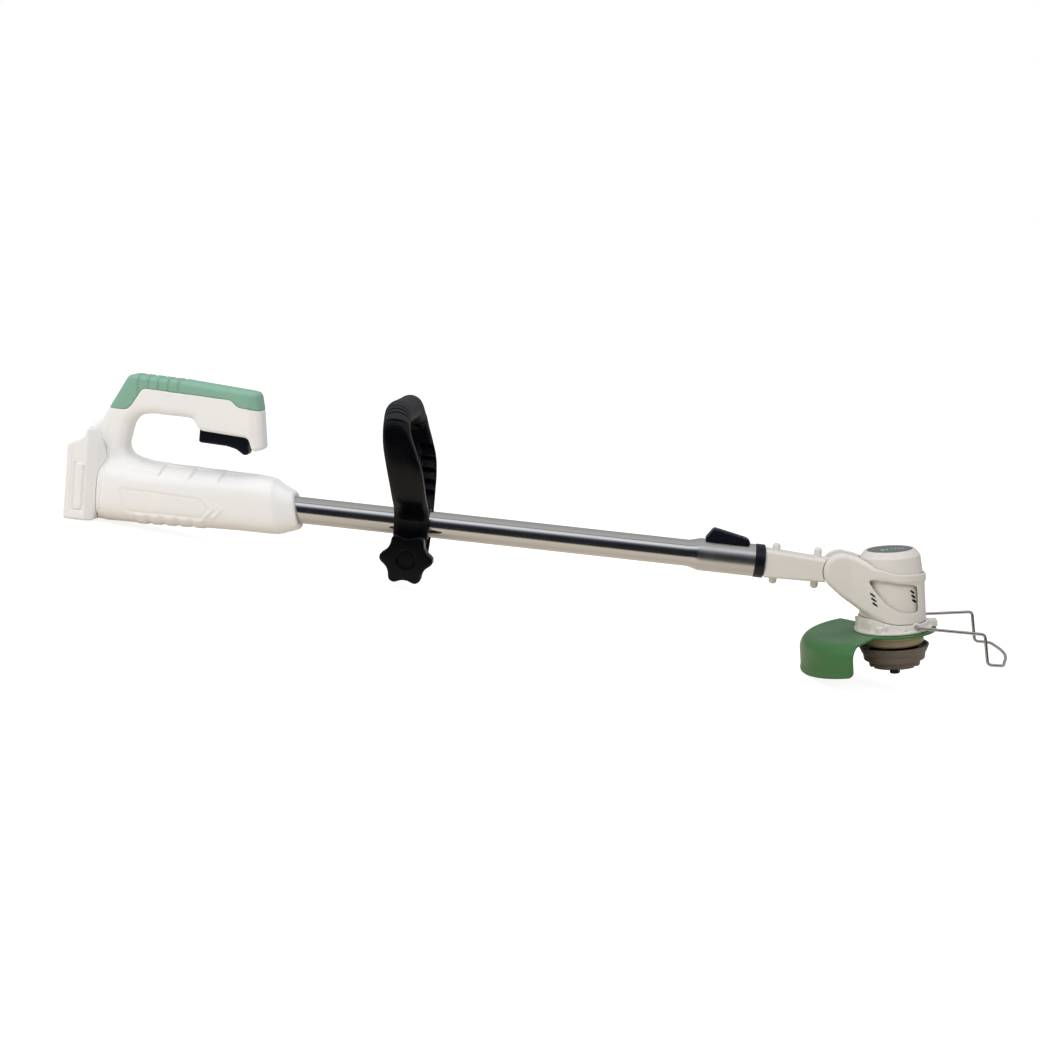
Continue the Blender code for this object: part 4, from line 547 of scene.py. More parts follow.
def body_outside(x, y, z):
    """Barrel and handle in one, with a sunk and grooved side panel, two raised chevrons, a smaller panel
    above, thumb notches on both shoulders, pads under the belly and a line round the rear flange."""
    whole = fuse(barrel(x, y, z), handle(x, y, z), root_round)
    flank = ramp(np.abs(y), 0.018, 0.022)
    panel = eased(((-0.3712, 0.0066), (-0.2965, 0.0043), (-0.2878, -0.0045), (-0.2925, -0.0139),
                   (-0.3632, -0.0151)), 0.0020)
    edge = outline_distance(panel, x, z)
    groove = 1.0 - ramp(np.abs(edge), 0.0004, 0.0013)
    whole = whole + panel_sunk * flank * (ramp(-edge, -0.0005, 0.0005) + groove)
    for shift in (0.0, 0.0078):
        top, tip, foot = (-0.2905 + shift, 0.0022), (-0.2818 + shift, -0.0035), (-0.2897 + shift, -0.0125)
        arms = 0.6 * stripe(x, z, top, tip, 0.0003, 0.0010), stripe(x, z, tip, foot, 0.0007, 0.0008)
        whole = whole - chevron_proud * flank * np.maximum(*arms)
    upper = eased(((-0.3658, 0.0244), (-0.3126, 0.0227), (-0.3111, 0.0136), (-0.3634, 0.0137)), 0.0020)
    sunk = ramp(-outline_distance(upper, x, z), -0.0005, 0.0005) * ramp(z, 0.0136, 0.0215)
    whole = whole + upper_sunk * sunk * ramp(np.abs(y), 0.010, 0.013)
    shoulder = ramp(np.abs(y), 0.0050, 0.0085) * ramp(z, 0.0190, 0.0225) * (1.0 - ramp(z, 0.0345, 0.0380))
    for notch in (-0.3341, -0.3050, -0.2781):
        fall = x - notch - 0.3 * (z - 0.0310)
        scoop = ramp(fall, -0.0004, 0.0010) * np.clip(1.0 - fall / 0.0240, 0.0, 1.0)
        whole = whole + notch_sunk * shoulder * scoop
    pads = 0.5 + 0.5 * np.cos(2.0 * pi * (x + 0.3513) / 0.0136)
    in_row = ramp(x, -0.3580, -0.3570) * (1.0 - ramp(x, -0.2920, -0.2910))
    belly = ramp(-z, 0.0160, 0.0172)
    whole = whole - pad_proud * belly * in_row * ramp(pads, 0.25, 0.40)
    rear_line = ((-0.3890, 0.0640), (-0.3877, 0.0118), (-0.3896, -0.0152), (-0.3940, -0.0240))
    for start, end in zip(rear_line, rear_line[1:]):
        line = stripe(x, z, start, end, 0.0003, 0.0009)
        whole = whole + line_sunk * line * ramp(np.abs(y), 0.006, 0.009)
    return whole


def screw_top(z):
    """How far from the middle plane a case screw's head stands: less in the thin handle."""
    return 0.0105 if z > 0.034 else 0.0140


def body_shell(side):
    """One half of the body: its outside, hollowed but for ribs and screw bosses, and cut to fit."""
    def distance(x, y, z):
        whole = body_outside(x, y, z)
        ribs = heads = np.full(np.broadcast(x, z).shape, 1.0)
        for place, top in rib_tops:
            ribs = join(ribs, meet(np.abs(x - place) - rib_half, z - top))
        for a, b in screw_places:
            away = np.hypot(x - a, z - b)
            ribs = join(ribs, away - screw_boss)
            seat = meet(away - screw_head, screw_top(b) - 0.0023 - y)
            heads = join(heads, away - screw_bore, seat)
        shell = meet(whole, -meet(whole + body_wall, -ribs))
        cover = meet(outline_distance(cover_outline, x, z) - gap, -handle(x, y, z) - cover_depth - gap)
        slot = box((x, y, z), (-0.3070, -0.0085, 0.0300), (-0.2550, 0.0085, 0.0758), 0.0002)
        for hollow in (cover, slot, np.hypot(y, z) - tube_radius - gap, meet(heads, -0.0083 - y)):
            shell = meet(shell, -hollow)
        return meet(shell, gap / 2.0 - side * y)
    return distance


white = plastic("white_shell_plastic", shade(246, 246, 246), 0.40, 0.0006, 0.00005)
for side, half_name, ends in ((-1.0, "right", (-0.0330, 0.0)), (1.0, "left", (0.0, 0.0330))):
    shell = moulding(
        "shell_" + half_name, body_shell(side), (-0.4120, ends[0], -0.0310), (-0.2020, ends[1], 0.1150),
        0.00096, white, tool
    )
    settle(shell, "tool", "white_shell", "body_shell_" + half_name)


# Grip cover: soft green rubber moulded over the top of the handle, flush with the shells, with five
# grooves that run across its top and down its sides.
first_groove, groove_pitch = -0.3642, 0.0094


def grip_cover(x, y, z):
    """The handle inside the cover's edge, less the handle's core, with the grooves sunk into it."""
    outside = handle(x, y, z)
    for i in range(5):
        away = np.abs(x - first_groove - groove_pitch * i)
        outside = outside + 0.0013 * (1.0 - ramp(away, 0.0002, 0.0014))
    within = slab(outline_distance(cover_outline, x, z), outside, 0.0006)
    return meet(within, -handle(x, y, z) - cover_depth)


green = plastic("soft_grip_green", shade(137, 183, 162), 0.52, 0.0007, 0.00012, 0.04)
cover = moulding("grip_over_handle", grip_cover, (-0.3960, -0.0175, 0.0780), (-0.2400, 0.0175, 0.1140),
                 0.00065, green, tool)
settle(cover, "tool", "grip_green", "grip_cover")


# Battery dock: a white moulding at the rear with a side plate each side, a T slot open at the bottom
# that the battery slides up into, and a tongue that the two shells hold.
dock_outline = eased((
    (-0.4215, -0.0272), (-0.4215, 0.0436), (-0.4160, 0.0466), (-0.4085, 0.0503), (-0.4048, 0.0545),
    (-0.4042, 0.0605), (-0.3985, 0.0600), (-0.3925, 0.0470), (-0.3885, 0.0330), (-0.3885, 0.0240),
    (-0.3942, 0.0150), (-0.3942, -0.0272),
), 0.0022)
dock_panel = eased(((-0.4140, -0.0185), (-0.4140, 0.0275), (-0.4030, 0.0235), (-0.4030, -0.0185)), 0.0012)
battery_top, battery_half, mouth_half = 0.0340, 0.0275, 0.0225


def dock(x, y, z):
    """A block with a fin that rises to the handle, its side tabs, the neck that the shells close on, the
    tongue that they hold, and the T slot."""
    taper = np.interp(x, (-0.4020, -0.3942, -0.3885), (0.0, 0.0062, 0.0160))
    block = slab(outline_distance(dock_outline, x, z), (np.abs(y) - 0.0350 + taper) * 0.8, 0.0022)
    sunk = ramp(-outline_distance(dock_panel, x, z), -0.0005, 0.0005)
    block = block + 0.0012 * sunk * ramp(np.abs(y), 0.030, 0.033)
    tab = box((x, np.abs(y), z), (-0.4122, 0.0300, -0.0165), (-0.4050, 0.0358, 0.0265), 0.0006)
    block = fuse(block, tab, 0.0004)
    edge = 1.0 - ramp(np.abs(x + 0.4158), 0.0002, 0.0008)
    block = block + 0.0006 * edge * ramp(np.abs(y), 0.030, 0.032) * ramp(z, -0.0240, -0.0220)
    block = meet(block, gap - fuse(barrel(x, y, z), handle(x, y, z), root_round))
    section = barrel(x * 0.0 + barrel_rear, y, z)
    neck = meet(section, -0.4026 - x, x + 0.3938)
    tongue = meet(section + body_wall + gap, -0.3985 - x, x + 0.3885)
    whole = join(fuse(block, neck, 0.0015), tongue)
    inside = meet(np.abs(x + 0.41225) - 0.00475, np.abs(y) - battery_half, z - battery_top)
    mouth = meet(x + 0.4165, np.abs(y) - mouth_half, z - battery_top)
    lead_way = meet(np.hypot(y, z) - 0.0050, -0.4215 - x)
    return carve(meet(whole, -lead_way), join(inside, mouth), 0.0006)


dock_piece = moulding("dock_moulding", dock, (-0.4220, -0.0370, -0.0280), (-0.3880, 0.0370, 0.0610),
                      0.00078, white, tool)
settle(dock_piece, "tool", "white_shell", "battery_dock")


# Trigger: a black nylon lever under the handle, its underside curved for a finger. It swings on a steel
# pin that the two shells hold, and its rear end lies against the switch.
trigger_outline = eased((
    (-0.3060, 0.0560), (-0.3045, 0.0548), (-0.2790, 0.0540), (-0.2700, 0.0520), (-0.2625, 0.0472),
    (-0.2590, 0.0478), (-0.2577, 0.0500), (-0.2595, 0.0650), (-0.2595, 0.0748), (-0.3060, 0.0748),
), 0.0012)


def trigger(x, y, z):
    """The lever's outline, 16 mm thick with all its edges rounded, less the bore for its pin."""
    lever = slab(outline_distance(trigger_outline, x, z), np.abs(y) - 0.0080, 0.0022)
    return meet(lever, 0.0016 - np.hypot(x + 0.3015, z - 0.0706))


black = plastic("black_moulded_plastic", shade(14, 18, 30), 0.34, 0.0005, 0.00005, 0.10, 0.35)
trigger_piece = moulding("trigger_lever", trigger, (-0.3070, -0.0085, 0.0470), (-0.2565, 0.0085, 0.0755),
                         0.00045, black, tool)
settle(trigger_piece, "trigger", "black_plastic", "trigger")


# Lock: a black collar and liner hold the inner tube, and a ribbed button on top slides forwards against
# a spring to lift the lock's pin. All are glass-filled nylon, moulded matt.
collar_front, collar_radius = 0.2403, 0.0161
button_rear, button_front, button_half = 0.1825, 0.2250, 0.0075
rib_pitch, rib_groove, pin_x, pin_bore = 0.0042, 0.0009, 0.2030, 0.0023
inner_fit = inner_radius + run
liner_fit = flare_radius - tube_wall - gap
liner_profile = eased((
    (inner_fit, flare_full + 2.0 * run), (liner_fit, flare_full + 2.0 * run), (liner_fit, tube_front + gap),
    (collar_radius, tube_front + gap), (collar_radius, collar_front), (inner_fit, collar_front),
), 0.0009)
liner = turned("liner_with_collar", liner_profile, black, tool)
cut_box(liner, slot_low, slot_high, tool)
settle(liner, "tool", "black_plastic", "lock_liner")

button_outline = eased((
    (button_rear, 0.0115), (button_rear, 0.0170), (0.1890, 0.0264), (0.1912, 0.0268), (0.2216, 0.0206),
    (button_front, 0.0184), (button_front, 0.0115),
), 0.0016)


def button(x, y, z):
    """The wedge with six ribs across its slope, saddled on the tube, and its stem with the pin's bore."""
    wedge = slab(outline_distance(button_outline, x, z), np.abs(y) - button_half, 0.0017)
    top = 0.0268 - 0.204 * (x - 0.1912)
    wave = 0.5 + 0.5 * np.cos(2.0 * pi * (x - 0.1955) / rib_pitch)
    in_row = ramp(x, 0.1934, 0.1938) * (1.0 - ramp(x, 0.2186, 0.2190))
    ribbed = in_row * (1.0 - ramp(np.abs(y), 0.0056, 0.0060))
    wedge = wedge + rib_groove * ribbed * ramp(wave, 0.35, 0.65) * ramp(z - top, -0.0030, -0.0015)
    wedge = meet(wedge, flare_radius + run - np.hypot(y, z))
    stem_low = (stem_rear, -stem_width / 2.0, 0.0112)
    stem_high = (stem_rear + stem_length, stem_width / 2.0, 0.0185)
    stem = box((x, y, z), stem_low, stem_high, 0.0003)
    bore = meet(np.hypot(x - pin_x, y) - pin_bore, z - 0.0168)
    return meet(join(wedge, stem), -bore)


button_piece = moulding("button_ribbed", button, (0.1820, -0.0080, 0.0108), (0.2255, 0.0080, 0.0274),
                        0.00034, black, tool)
settle(button_piece, "lock_button", "black_plastic", "lock_button")


# Neck: an off-white moulding pressed on the inner tube, with four domed pegs that a strap or a spare
# clips to, and a tongue that the head's fork holds.
neck_rear, neck_front, neck_half = 0.2406, 0.2955, 0.0135
pivot_x, tongue_radius, tongue_half, bolt_bore = 0.3145, 0.0100, 0.0065, 0.0033
peg_places, peg_radius, peg_dome, peg_above, peg_below = (0.2510, 0.2908), 0.0038, 0.0034, 0.0193, 0.0206
neck_outline = eased((
    (neck_rear, -0.0138), (neck_rear, 0.0125), (neck_front, 0.0095), (0.3030, 0.0091), (0.3030, -0.0119),
    (neck_front, -0.0123),
), 0.0010)


def neck(x, y, z):
    """The block's outline, scooped round the pivot, its tongue with a round end and four domed pegs, less
    the inner tube's socket and the pivot's bore."""
    block = slab(outline_distance(neck_outline, x, z), np.abs(y) - neck_half, 0.0028)
    block = slab(block, 0.0185 - np.hypot(x - pivot_x, z), 0.0005)
    tongue = np.where(x > pivot_x, np.hypot(x - pivot_x, z), np.abs(z)) - tongue_radius
    tongue = meet(slab(tongue, np.abs(y) - tongue_half, 0.0005), 0.2900 - x)
    whole = fuse(block, tongue, 0.0012)
    for place in peg_places:
        past_tip = np.abs(z) - np.where(z > 0.0, peg_above, peg_below)
        peg = slab(np.hypot(x - place, y) - peg_radius, past_tip, peg_dome)
        whole = fuse(whole, meet(peg, 0.005 - np.abs(z)), 0.0011)
    socket = meet(np.hypot(y, z) - inner_radius - gap, x - 0.2666)
    return meet(whole, -socket, bolt_bore - np.hypot(x - pivot_x, z))


ivory = plastic("off_white_plastic", shade(225, 222, 216), 0.40, 0.0006, 0.00005)
neck_piece = moulding("neck_with_pegs", neck, (0.2400, -0.0142, -0.0212), (0.3250, 0.0142, 0.0200),
                      0.00054, ivory, tool)
settle(neck_piece, "extension", "off_white", "neck")


# Yoke: two off-white halves that hold the motor housing. On each side a fork disc at the pivot runs on
# into a broad arm and a band round the housing, open in a tear-shaped window.
head_axes = radians(10.0)
head_along = cos(head_axes) * along + sin(head_axes) * upright
head_up = cos(head_axes) * upright - sin(head_axes) * along
head = (np.stack((head_along, (0.0, 1.0, 0.0), head_up)), np.array(joint["head_tilt"]["pos_m"]))
spindle_x, housing_radius, housing_room, yoke_radius, yoke_bottom = 0.0475, 0.0302, 0.0305, 0.0330, -0.0450
fork_half, fork_slot_half, disc_radius, flare_slope, flare_lean = 0.0180, 0.0070, 0.0180, 0.466, 0.906
disc_edge = [(disc_radius * cos(a), disc_radius * sin(a)) for a in np.radians(np.arange(80.0, 228.0, 8.0))]
arm_outline = eased((
    *disc_edge, (-0.0025, -0.0235), (0.0149, -0.0378), (0.0265, -0.0452), (0.0383, -0.0494),
    (0.0475, -0.0512), (0.0475, -0.0060), (0.0400, 0.0000), (0.0330, 0.0024), (0.0257, 0.0074),
    (0.0144, 0.0138),
), 0.0040)
window_outline = eased((
    (0.0234, -0.0088), (0.0275, -0.0078), (0.0587, -0.0146), (0.0672, -0.0166), (0.0672, -0.0405),
    (0.0600, -0.0398), (0.0510, -0.0380), (0.0380, -0.0295), (0.0290, -0.0190),
), 0.0032)
vent_half, vent_slant = (0.0030, 0.0009), radians(42.0)
vent_steps = [(0.0008 * i, -0.0220 - 0.0045 * i) for i in range(3)]
arm_vents = [(spindle_x - 0.0212 + a, b) for a, b in vent_steps]
housing_vents = [(spindle_x + 0.0168 + a, b) for a, b in vent_steps]


def vents(x, z, places):
    """Slots with round ends, each along a line that slants down to the right."""
    nearest = np.full(np.broadcast(x, z).shape, 1.0)
    reach = vent_half[0] - vent_half[1]
    for a, b in places:
        run_along = np.clip((x - a) * cos(vent_slant) - (z - b) * sin(vent_slant), -reach, reach)
        away = np.hypot(x - a - run_along * cos(vent_slant), z - b + run_along * sin(vent_slant))
        nearest = join(nearest, away - vent_half[1])
    return nearest


top_edge = ((0.0330, 0.0024), (0.0400, 0.0002), (0.0474, -0.0024), (0.0580, -0.0036), (0.0700, -0.0046),
            (0.0805, -0.0066))
low_edge = ((0.0145, -0.0450), (0.0265, -0.0452), (0.0383, -0.0494), (0.0488, -0.0514), (0.0660, -0.0522))


def height_on(edge, x):
    """The height of an edge line over each x, straight between its corners."""
    return np.interp(x, [spot[0] for spot in edge], [spot[1] for spot in edge])


def yoke(x, y, z):
    """Each arm's outer face runs flat from the disc and flares by 25 degrees, a slope of tan 25 that is
    leant over by cos 25, until it is tangent to the band. The band has a proud lip along its upper edge,
    and its lower edge dips at the front."""
    away = np.hypot(x - spindle_x, y)
    flare_out = np.clip(x - 0.0080, 0.0, 0.0256)
    side = (np.abs(y) - fork_half - flare_slope * flare_out) * flare_lean
    side = meet(side, np.where(x > 0.0336, away - yoke_radius, -1.0))
    arm = slab(outline_distance(arm_outline, x, z), side, 0.0050)
    upper, lower = height_on(top_edge, x), height_on(low_edge, x)
    lip = 0.0014 * ramp(z - upper, -0.0100, -0.0060)
    band = slab(away - yoke_radius + 0.0014 - lip, meet(z - upper, lower - z), 0.0014)
    whole = fuse(arm, band, 0.0020)
    whole = meet(whole, housing_room - away)
    whole = carve(whole, outline_distance(window_outline, x, z), 0.0030)
    seat = meet(np.hypot(x, z) - 0.0062, 0.0148 - y)
    bolt_way = meet(np.hypot(x, z) - bolt_bore, -0.0128 - y)
    fork_slot = meet(np.abs(y) - fork_slot_half, x - 0.0158)
    openings = join(seat, bolt_way, fork_slot, vents(x, z, arm_vents))
    return carve(whole, openings, 0.0005)


def yoke_half(side):
    """One half of the yoke: what lies on its side of the middle plane, less half the gap."""
    return lambda x, y, z: meet(yoke(x, y, z), gap / 2.0 - side * y)


for side, half_name, ends in ((-1.0, "right", (-0.0345, 0.0)), (1.0, "left", (0.0, 0.0345))):
    half = moulding("yoke_" + half_name, yoke_half(side), (-0.0185, ends[0], -0.0530),
                    (0.0820, ends[1], 0.0185), 0.00062, ivory, head)
    settle(half, "head", "off_white", "head_yoke_" + half_name)


# Motor housing, its cap and display: a ribbed can with slanted vents, closed by a bevelled cap that
# carries a smoked round display with a few plain lamps under its clear face.
axis = (spindle_x, 0.0, 0.0)
cap_seam, cap_rim, cap_top, display_radius = -0.0050, 0.0122, 0.0172, 0.0215
collar_top, flange_top, flange_bottom = yoke_bottom - gap, -0.0575, -0.0600


def housing(x, y, z):
    """A can that is drawn in behind the yoke's windows, its wall cut by vents on both sides."""
    away = np.hypot(x - spindle_x, y)
    waist = 0.0024 * ramp(-z, 0.0060, 0.0080) * (1.0 - ramp(-z, 0.0420, 0.0440))
    can = slab(away - housing_radius + waist, np.abs(z + 0.0315) - 0.0262, 0.0004)
    inside = meet(away - 0.0280 + waist, -0.0545 - z)
    shell = meet(can, -inside, 0.0090 - away)
    through = meet(vents(x, z, arm_vents + housing_vents), 0.0100 - np.abs(y))
    return carve(shell, through, 0.0004)


housing_piece = moulding("housing_can", housing, (0.0170, -0.0305, -0.0580), (0.0780, 0.0305, -0.0050),
                         0.00070, ivory, head)
settle(housing_piece, "head", "off_white", "motor_housing")

lid = cap_top - 0.0012
cap_profile = np.vstack((
    ((0.0, lid - 0.0022), (0.0214, lid - 0.0022), (0.0258, cap_rim - 0.0010), (0.0276, cap_seam)),
    ((0.0302, cap_seam),),
    eased(((0.0302, cap_seam), (0.0286, 0.0112), (0.0238, cap_top), (display_radius + gap, cap_top),
           (display_radius + gap, lid - gap)), 0.0004)[7:-7],
    ((display_radius + gap, lid - gap), (0.0, lid - gap)),
))
settle(turned("cap_bevelled", cap_profile, ivory, head, "Z", axis, 128), "head", "off_white", "top_cap")


def display_finish():
    """Smoked glass over a dark face, with plain oval lamps of green and blue inside a thin ring."""
    made, tree, shader = new_finish("display_smoked")
    middle = carry(np.array((spindle_x, 0.0, cap_top)), head)
    lean = -atan2(head[0][0][2], head[0][0][0])
    place = add_node(tree, "Mapping", {
        "Vector": add_node(tree, "TexCoord", {}).outputs["Object"], "Location": middle.tolist(),
        "Rotation": (0.0, lean, 0.0),
    }, vector_type="TEXTURE").outputs[0]
    green_light, blue_light = shade(90, 230, 150), shade(120, 200, 255)
    marks = [(-0.0072, -0.0030, 0.0020, 0.0042, green_light), (-0.0030, -0.0026, 0.0011, 0.0036, green_light)]
    marks += [(0.0020 + 0.0036 * i, 0.0, 0.0010, 0.0030, (blue_light, green_light)[i % 2]) for i in range(4)]
    face = shade(58, 62, 70)
    for a, b, half, reach, light in marks:
        offset = add_node(tree, "VectorMath", {0: place, 1: (a, b, 0.0)}, operation="SUBTRACT")
        scaled = add_node(tree, "VectorMath", {0: offset.outputs[0], 1: (1.0 / half, 1.0 / reach, 0.0)},
                          operation="MULTIPLY")
        size = add_node(tree, "VectorMath", {0: scaled.outputs[0]}, operation="LENGTH")
        shown = add_node(tree, "MapRange", {
            "Value": size.outputs["Value"], "From Min": 1.15, "From Max": 0.85,
        })
        face = blend_colours(tree, shown.outputs[0], face, light)
    flat = add_node(tree, "VectorMath", {0: place, 1: (1.0, 1.0, 0.0)}, operation="MULTIPLY")
    away = add_node(tree, "VectorMath", {0: flat.outputs[0]}, operation="LENGTH")
    off_ring = add_node(tree, "Math", {0: away.outputs["Value"], 1: 0.0158, 2: 0.0004}, operation="COMPARE")
    face = blend_colours(tree, off_ring.outputs[0], face, shade(96, 104, 112))
    haze = add_node(tree, "TexNoise", {"Vector": place, "Scale": 180.0, "Detail": 3.0})
    rough = add_node(tree, "MapRange", {"Value": haze.outputs["Fac"], "To Min": 0.10, "To Max": 0.26})
    tree.links.new(face, shader.inputs["Base Color"])
    tree.links.new(rough.outputs[0], shader.inputs["Roughness"])
    shader.inputs["Coat Weight"].default_value = 0.6
    shader.inputs["Coat Roughness"].default_value = 0.05
    return made


glass_edge = eased(((display_radius, lid), (display_radius, cap_top), (0.0, cap_top)), 0.0005)[7:14]
display_profile = np.vstack((((0.0, lid), (display_radius, lid)), glass_edge, ((0.0, cap_top),)))
display = turned("display_glass", display_profile, display_finish(), head, "Z", axis, 128)
settle(display, "head", "display", "display_disc")


# Base collar: the ribbed skirt under the yoke, with a foot flange for the guard's screws and two lugs
# that the wire guide hinges in.
screw_circle, hinge_x, hinge_z, wire_bore = 0.0338, 0.0655, -0.0545, 0.0018
guard_screws = [
    (spindle_x + screw_circle * cos(radians(place)), screw_circle * sin(radians(place)))
    for place in (120.0, 240.0, 0.0)
]


def base_collar(x, y, z):
    """A skirt whose top follows the yoke's lower edge, ribs round its rear, the foot flange with a tab at
    its front, the lugs, and the holes for the screws and the wire."""
    away = np.hypot(x - spindle_x, y)
    top = height_on(low_edge, x) - gap
    skirt = slab(away - (0.0330 + 0.096 * (collar_top - z)), meet(z - top, flange_top - z), 0.0005)
    foot = slab(away - 0.0372, np.abs(z - (flange_top + flange_bottom) / 2.0) - 0.00125, 0.0008)
    whole = fuse(skirt, foot, 0.0012)
    angle = np.arctan2(y, x - spindle_x) % (2.0 * pi)
    step = radians(200.0) / 7.0
    nearest = radians(80.0) + step * np.clip(np.round((angle - radians(80.0)) / step), 0, 7)
    off_rib = np.abs((x - spindle_x) * np.sin(nearest) - y * np.cos(nearest))
    forward = (x - spindle_x) * np.cos(nearest) + y * np.sin(nearest)
    low, high = flange_top - 0.0005, top - 0.0024
    rib = slab(meet(off_rib - 0.0010, 0.0315 - forward), meet(away - 0.0360, low - z, z - high), 0.0006)
    whole = fuse(whole, rib, 0.0008)
    tab = box((x, y, z), (0.0800, -0.0055, -0.0600), (0.0895, 0.0055, -0.0530), 0.0008)
    whole = fuse(whole, tab, 0.0008)
    for a, b in guard_screws:
        boss = slab(np.hypot(x - a, y - b) - screw_boss, meet(flange_bottom - z, z + 0.0526), 0.0006)
        whole = fuse(whole, boss, 0.0010)
    hinge = np.hypot(x - hinge_x, z - hinge_z)
    lug = slab(hinge - 0.0042, np.abs(np.abs(y) - 0.0289) - 0.0007, 0.0006)
    whole = meet(fuse(whole, lug, 0.0006), housing_room - away)
    for a, b in guard_screws:
        whole = meet(whole, -meet(np.hypot(x - a, y - b) - screw_bore, z + 0.0537))
    return meet(whole, wire_bore - hinge)


collar_piece = moulding("collar_ribbed", base_collar, (0.0098, -0.0380, -0.0605), (0.0900, 0.0380, -0.0448),
                        0.00060, ivory, head)
settle(collar_piece, "head", "off_white", "base_collar")


# Guard: a green polypropylene moulding, a ring under the collar that opens to the rear into a skirt
# with a round shoulder. Its lower edge is turned slightly and its two ends are rounded.
guard_radius, guard_wall, guard_round, guard_ring, guard_hole = 0.0900, 0.0026, 0.0140, 0.0410, 0.0246
guard_top, guard_bottom, guard_rise, guard_sweep = flange_bottom - gap, -0.0958, 0.0070, radians(57.0)


def guard(x, y, z):
    """The ring and the skirt's rounded shell, each a band between two surfaces, cut to a sector."""
    away = np.hypot(x - spindle_x, y)
    off_rear = np.abs(np.arctan2(y, spindle_x - x))
    outer = slab(away - guard_radius, z - guard_top, guard_round)
    shell = np.abs(outer + guard_wall / 2.0) - guard_wall / 2.0
    foot = guard_bottom + guard_rise * np.minimum(off_rear / guard_sweep, 1.2) ** 2
    rim = 0.0006 * (1.0 - ramp(np.abs(z - foot - 0.0016), 0.0010, 0.0026))
    side = (off_rear - guard_sweep) * np.maximum(away, 0.02)
    shell = slab(shell - rim, slab(foot - z, side, 0.0055), 0.0008)
    shell = meet(shell, 0.0380 - away)
    ring = slab(np.abs(away - (guard_ring + guard_hole) / 2.0) - (guard_ring - guard_hole) / 2.0,
                np.abs(z - guard_top + guard_wall / 2.0) - guard_wall / 2.0, 0.0007)
    whole = fuse(shell, ring, 0.0015)
    for a, b in guard_screws:
        whole = meet(whole, screw_bore - np.hypot(x - a, y - b))
    return whole


guard_green = plastic("guard_green_plastic", shade(60, 114, 63), 0.32, 0.0008, 0.00004, 0.04)
guard_piece = moulding("guard_skirt", guard, (-0.0430, -0.0765, -0.0965), (0.0890, 0.0765, -0.0595),
                       0.00088, guard_green, head)
settle(guard_piece, "head", "guard_green", "guard")


# Drum and hub: an off-white drum fixed round the spindle, its colour painted darker and warmer as the
# shade and warm floor light under the guard, and under it the stepped cutter hub, a grey-brown moulding
# with six notches round its lowest step, held by a black bolt.
under_guard = guard_top - guard_wall
drum_profile = eased((
    (0.0083, flange_top - 2.0 * gap), (guard_hole - 2.0 * gap, flange_top - 2.0 * gap),
    (guard_hole - 2.0 * gap, under_guard - gap), (0.0286, under_guard - gap), (0.0286, -0.0660),
    (0.0282, -0.0664), (0.0282, -0.0670), (0.0286, -0.0674), (0.0286, -0.0725), (0.0266, -0.0745),
    (0.0242, -0.0745), (0.0242, under_guard - 0.0030), (0.0083, under_guard - 0.0030),
), 0.0006)
# The drum's colour is painted shade: off-white plastic darkened and warmed as it looks in the shade under the
# guard.
beige = plastic("drum_off_white_painted_shade", shade(184, 168, 136), 0.45, 0.0006, 0.00005, 0.03)
settle(turned("drum_fixed", drum_profile, beige, head, "Z", axis, 128), "head", "beige", "spindle_drum")

hub_top, hub_wall = -0.0752, 0.0024
hub_tiers = ((0.0338, -0.0825), (0.0300, -0.0895), (0.0250, -0.0960))
boss_radius, boss_foot, notch_half, notch_root, notch_top = 0.0065, -0.0970, 0.0030, 0.0215, -0.0940


def hub(x, y, z):
    """Stepped tiers that taper like a bowl, hollow from above, with six notches in the lowest step."""
    away = np.hypot(x - spindle_x, y)
    outer = slab(away - boss_radius, meet(z - hub_top, boss_foot - z), 0.0004)
    inner = np.full(np.broadcast(x, y, z).shape, 1.0)
    top = hub_top
    for radius, bottom in hub_tiers:
        taper = (0.0030 if top == hub_top else 0.0010) * np.clip((top - z) / (top - bottom), 0.0, 1.0)
        outer = join(outer, slab(away - radius + taper, meet(z - hub_top, bottom - z), 0.0008))
        wall = meet(away - radius + 0.0030 + hub_wall, bottom + hub_wall - z)
        inner = join(inner, wall)
        top = bottom
    mouth = meet(away - 0.0312 + 0.3 * (hub_top - z), -0.0790 - z)
    whole = meet(outer, -join(inner, mouth), 0.0021 - away)
    angle = np.arctan2(y, x - spindle_x)
    step = 2.0 * pi / 6.0
    nearest = step * (np.round(angle / step - 0.33) + 0.33)
    off = np.abs((x - spindle_x) * np.sin(nearest) - y * np.cos(nearest)) - notch_half
    notch = meet(off, notch_root - away, z - notch_top)
    return carve(whole, notch, 0.0006)


taupe = plastic("hub_taupe_plastic", shade(104, 94, 84), 0.46, 0.0006, 0.00006, 0.05)
hub_piece = moulding("hub_stepped", hub, (0.0132, -0.0343, -0.0975), (0.0818, 0.0343, -0.0747),
                     0.00066, taupe, head)
settle(hub_piece, "spool", "taupe", "cutter_hub")


def hex_bolt(x, y, z):
    """A hexagon head whose corners are rounded by a cone, with its washer face and its shank."""
    u, v = x - spindle_x, y
    away = np.hypot(u, v)
    sides = [u * cos(a) + v * sin(a) for a in np.arange(6) * pi / 3.0 + pi / 6.0]
    faces = np.max(sides, axis=0) - 0.0050 * cos(pi / 6.0)
    cone = away + (-0.1040 - z) * 0.6 - 0.0046
    head_part = slab(meet(faces, cone), np.abs(z + 0.10065) - 0.00335, 0.0003)
    washer = slab(away - 0.0049, np.abs(z + 0.0979) - 0.0006, 0.0002)
    shank = meet(away - screw_bore, np.abs(z - boss_foot) - 0.0026)
    return join(head_part, washer, shank)


bolt_piece = moulding("bolt_of_hub", hex_bolt, (0.0422, -0.0053, -0.1042), (0.0528, 0.0053, -0.0943),
                      0.00022, black, head)
settle(bolt_piece, "spool", "black_plastic", "hub_bolt")


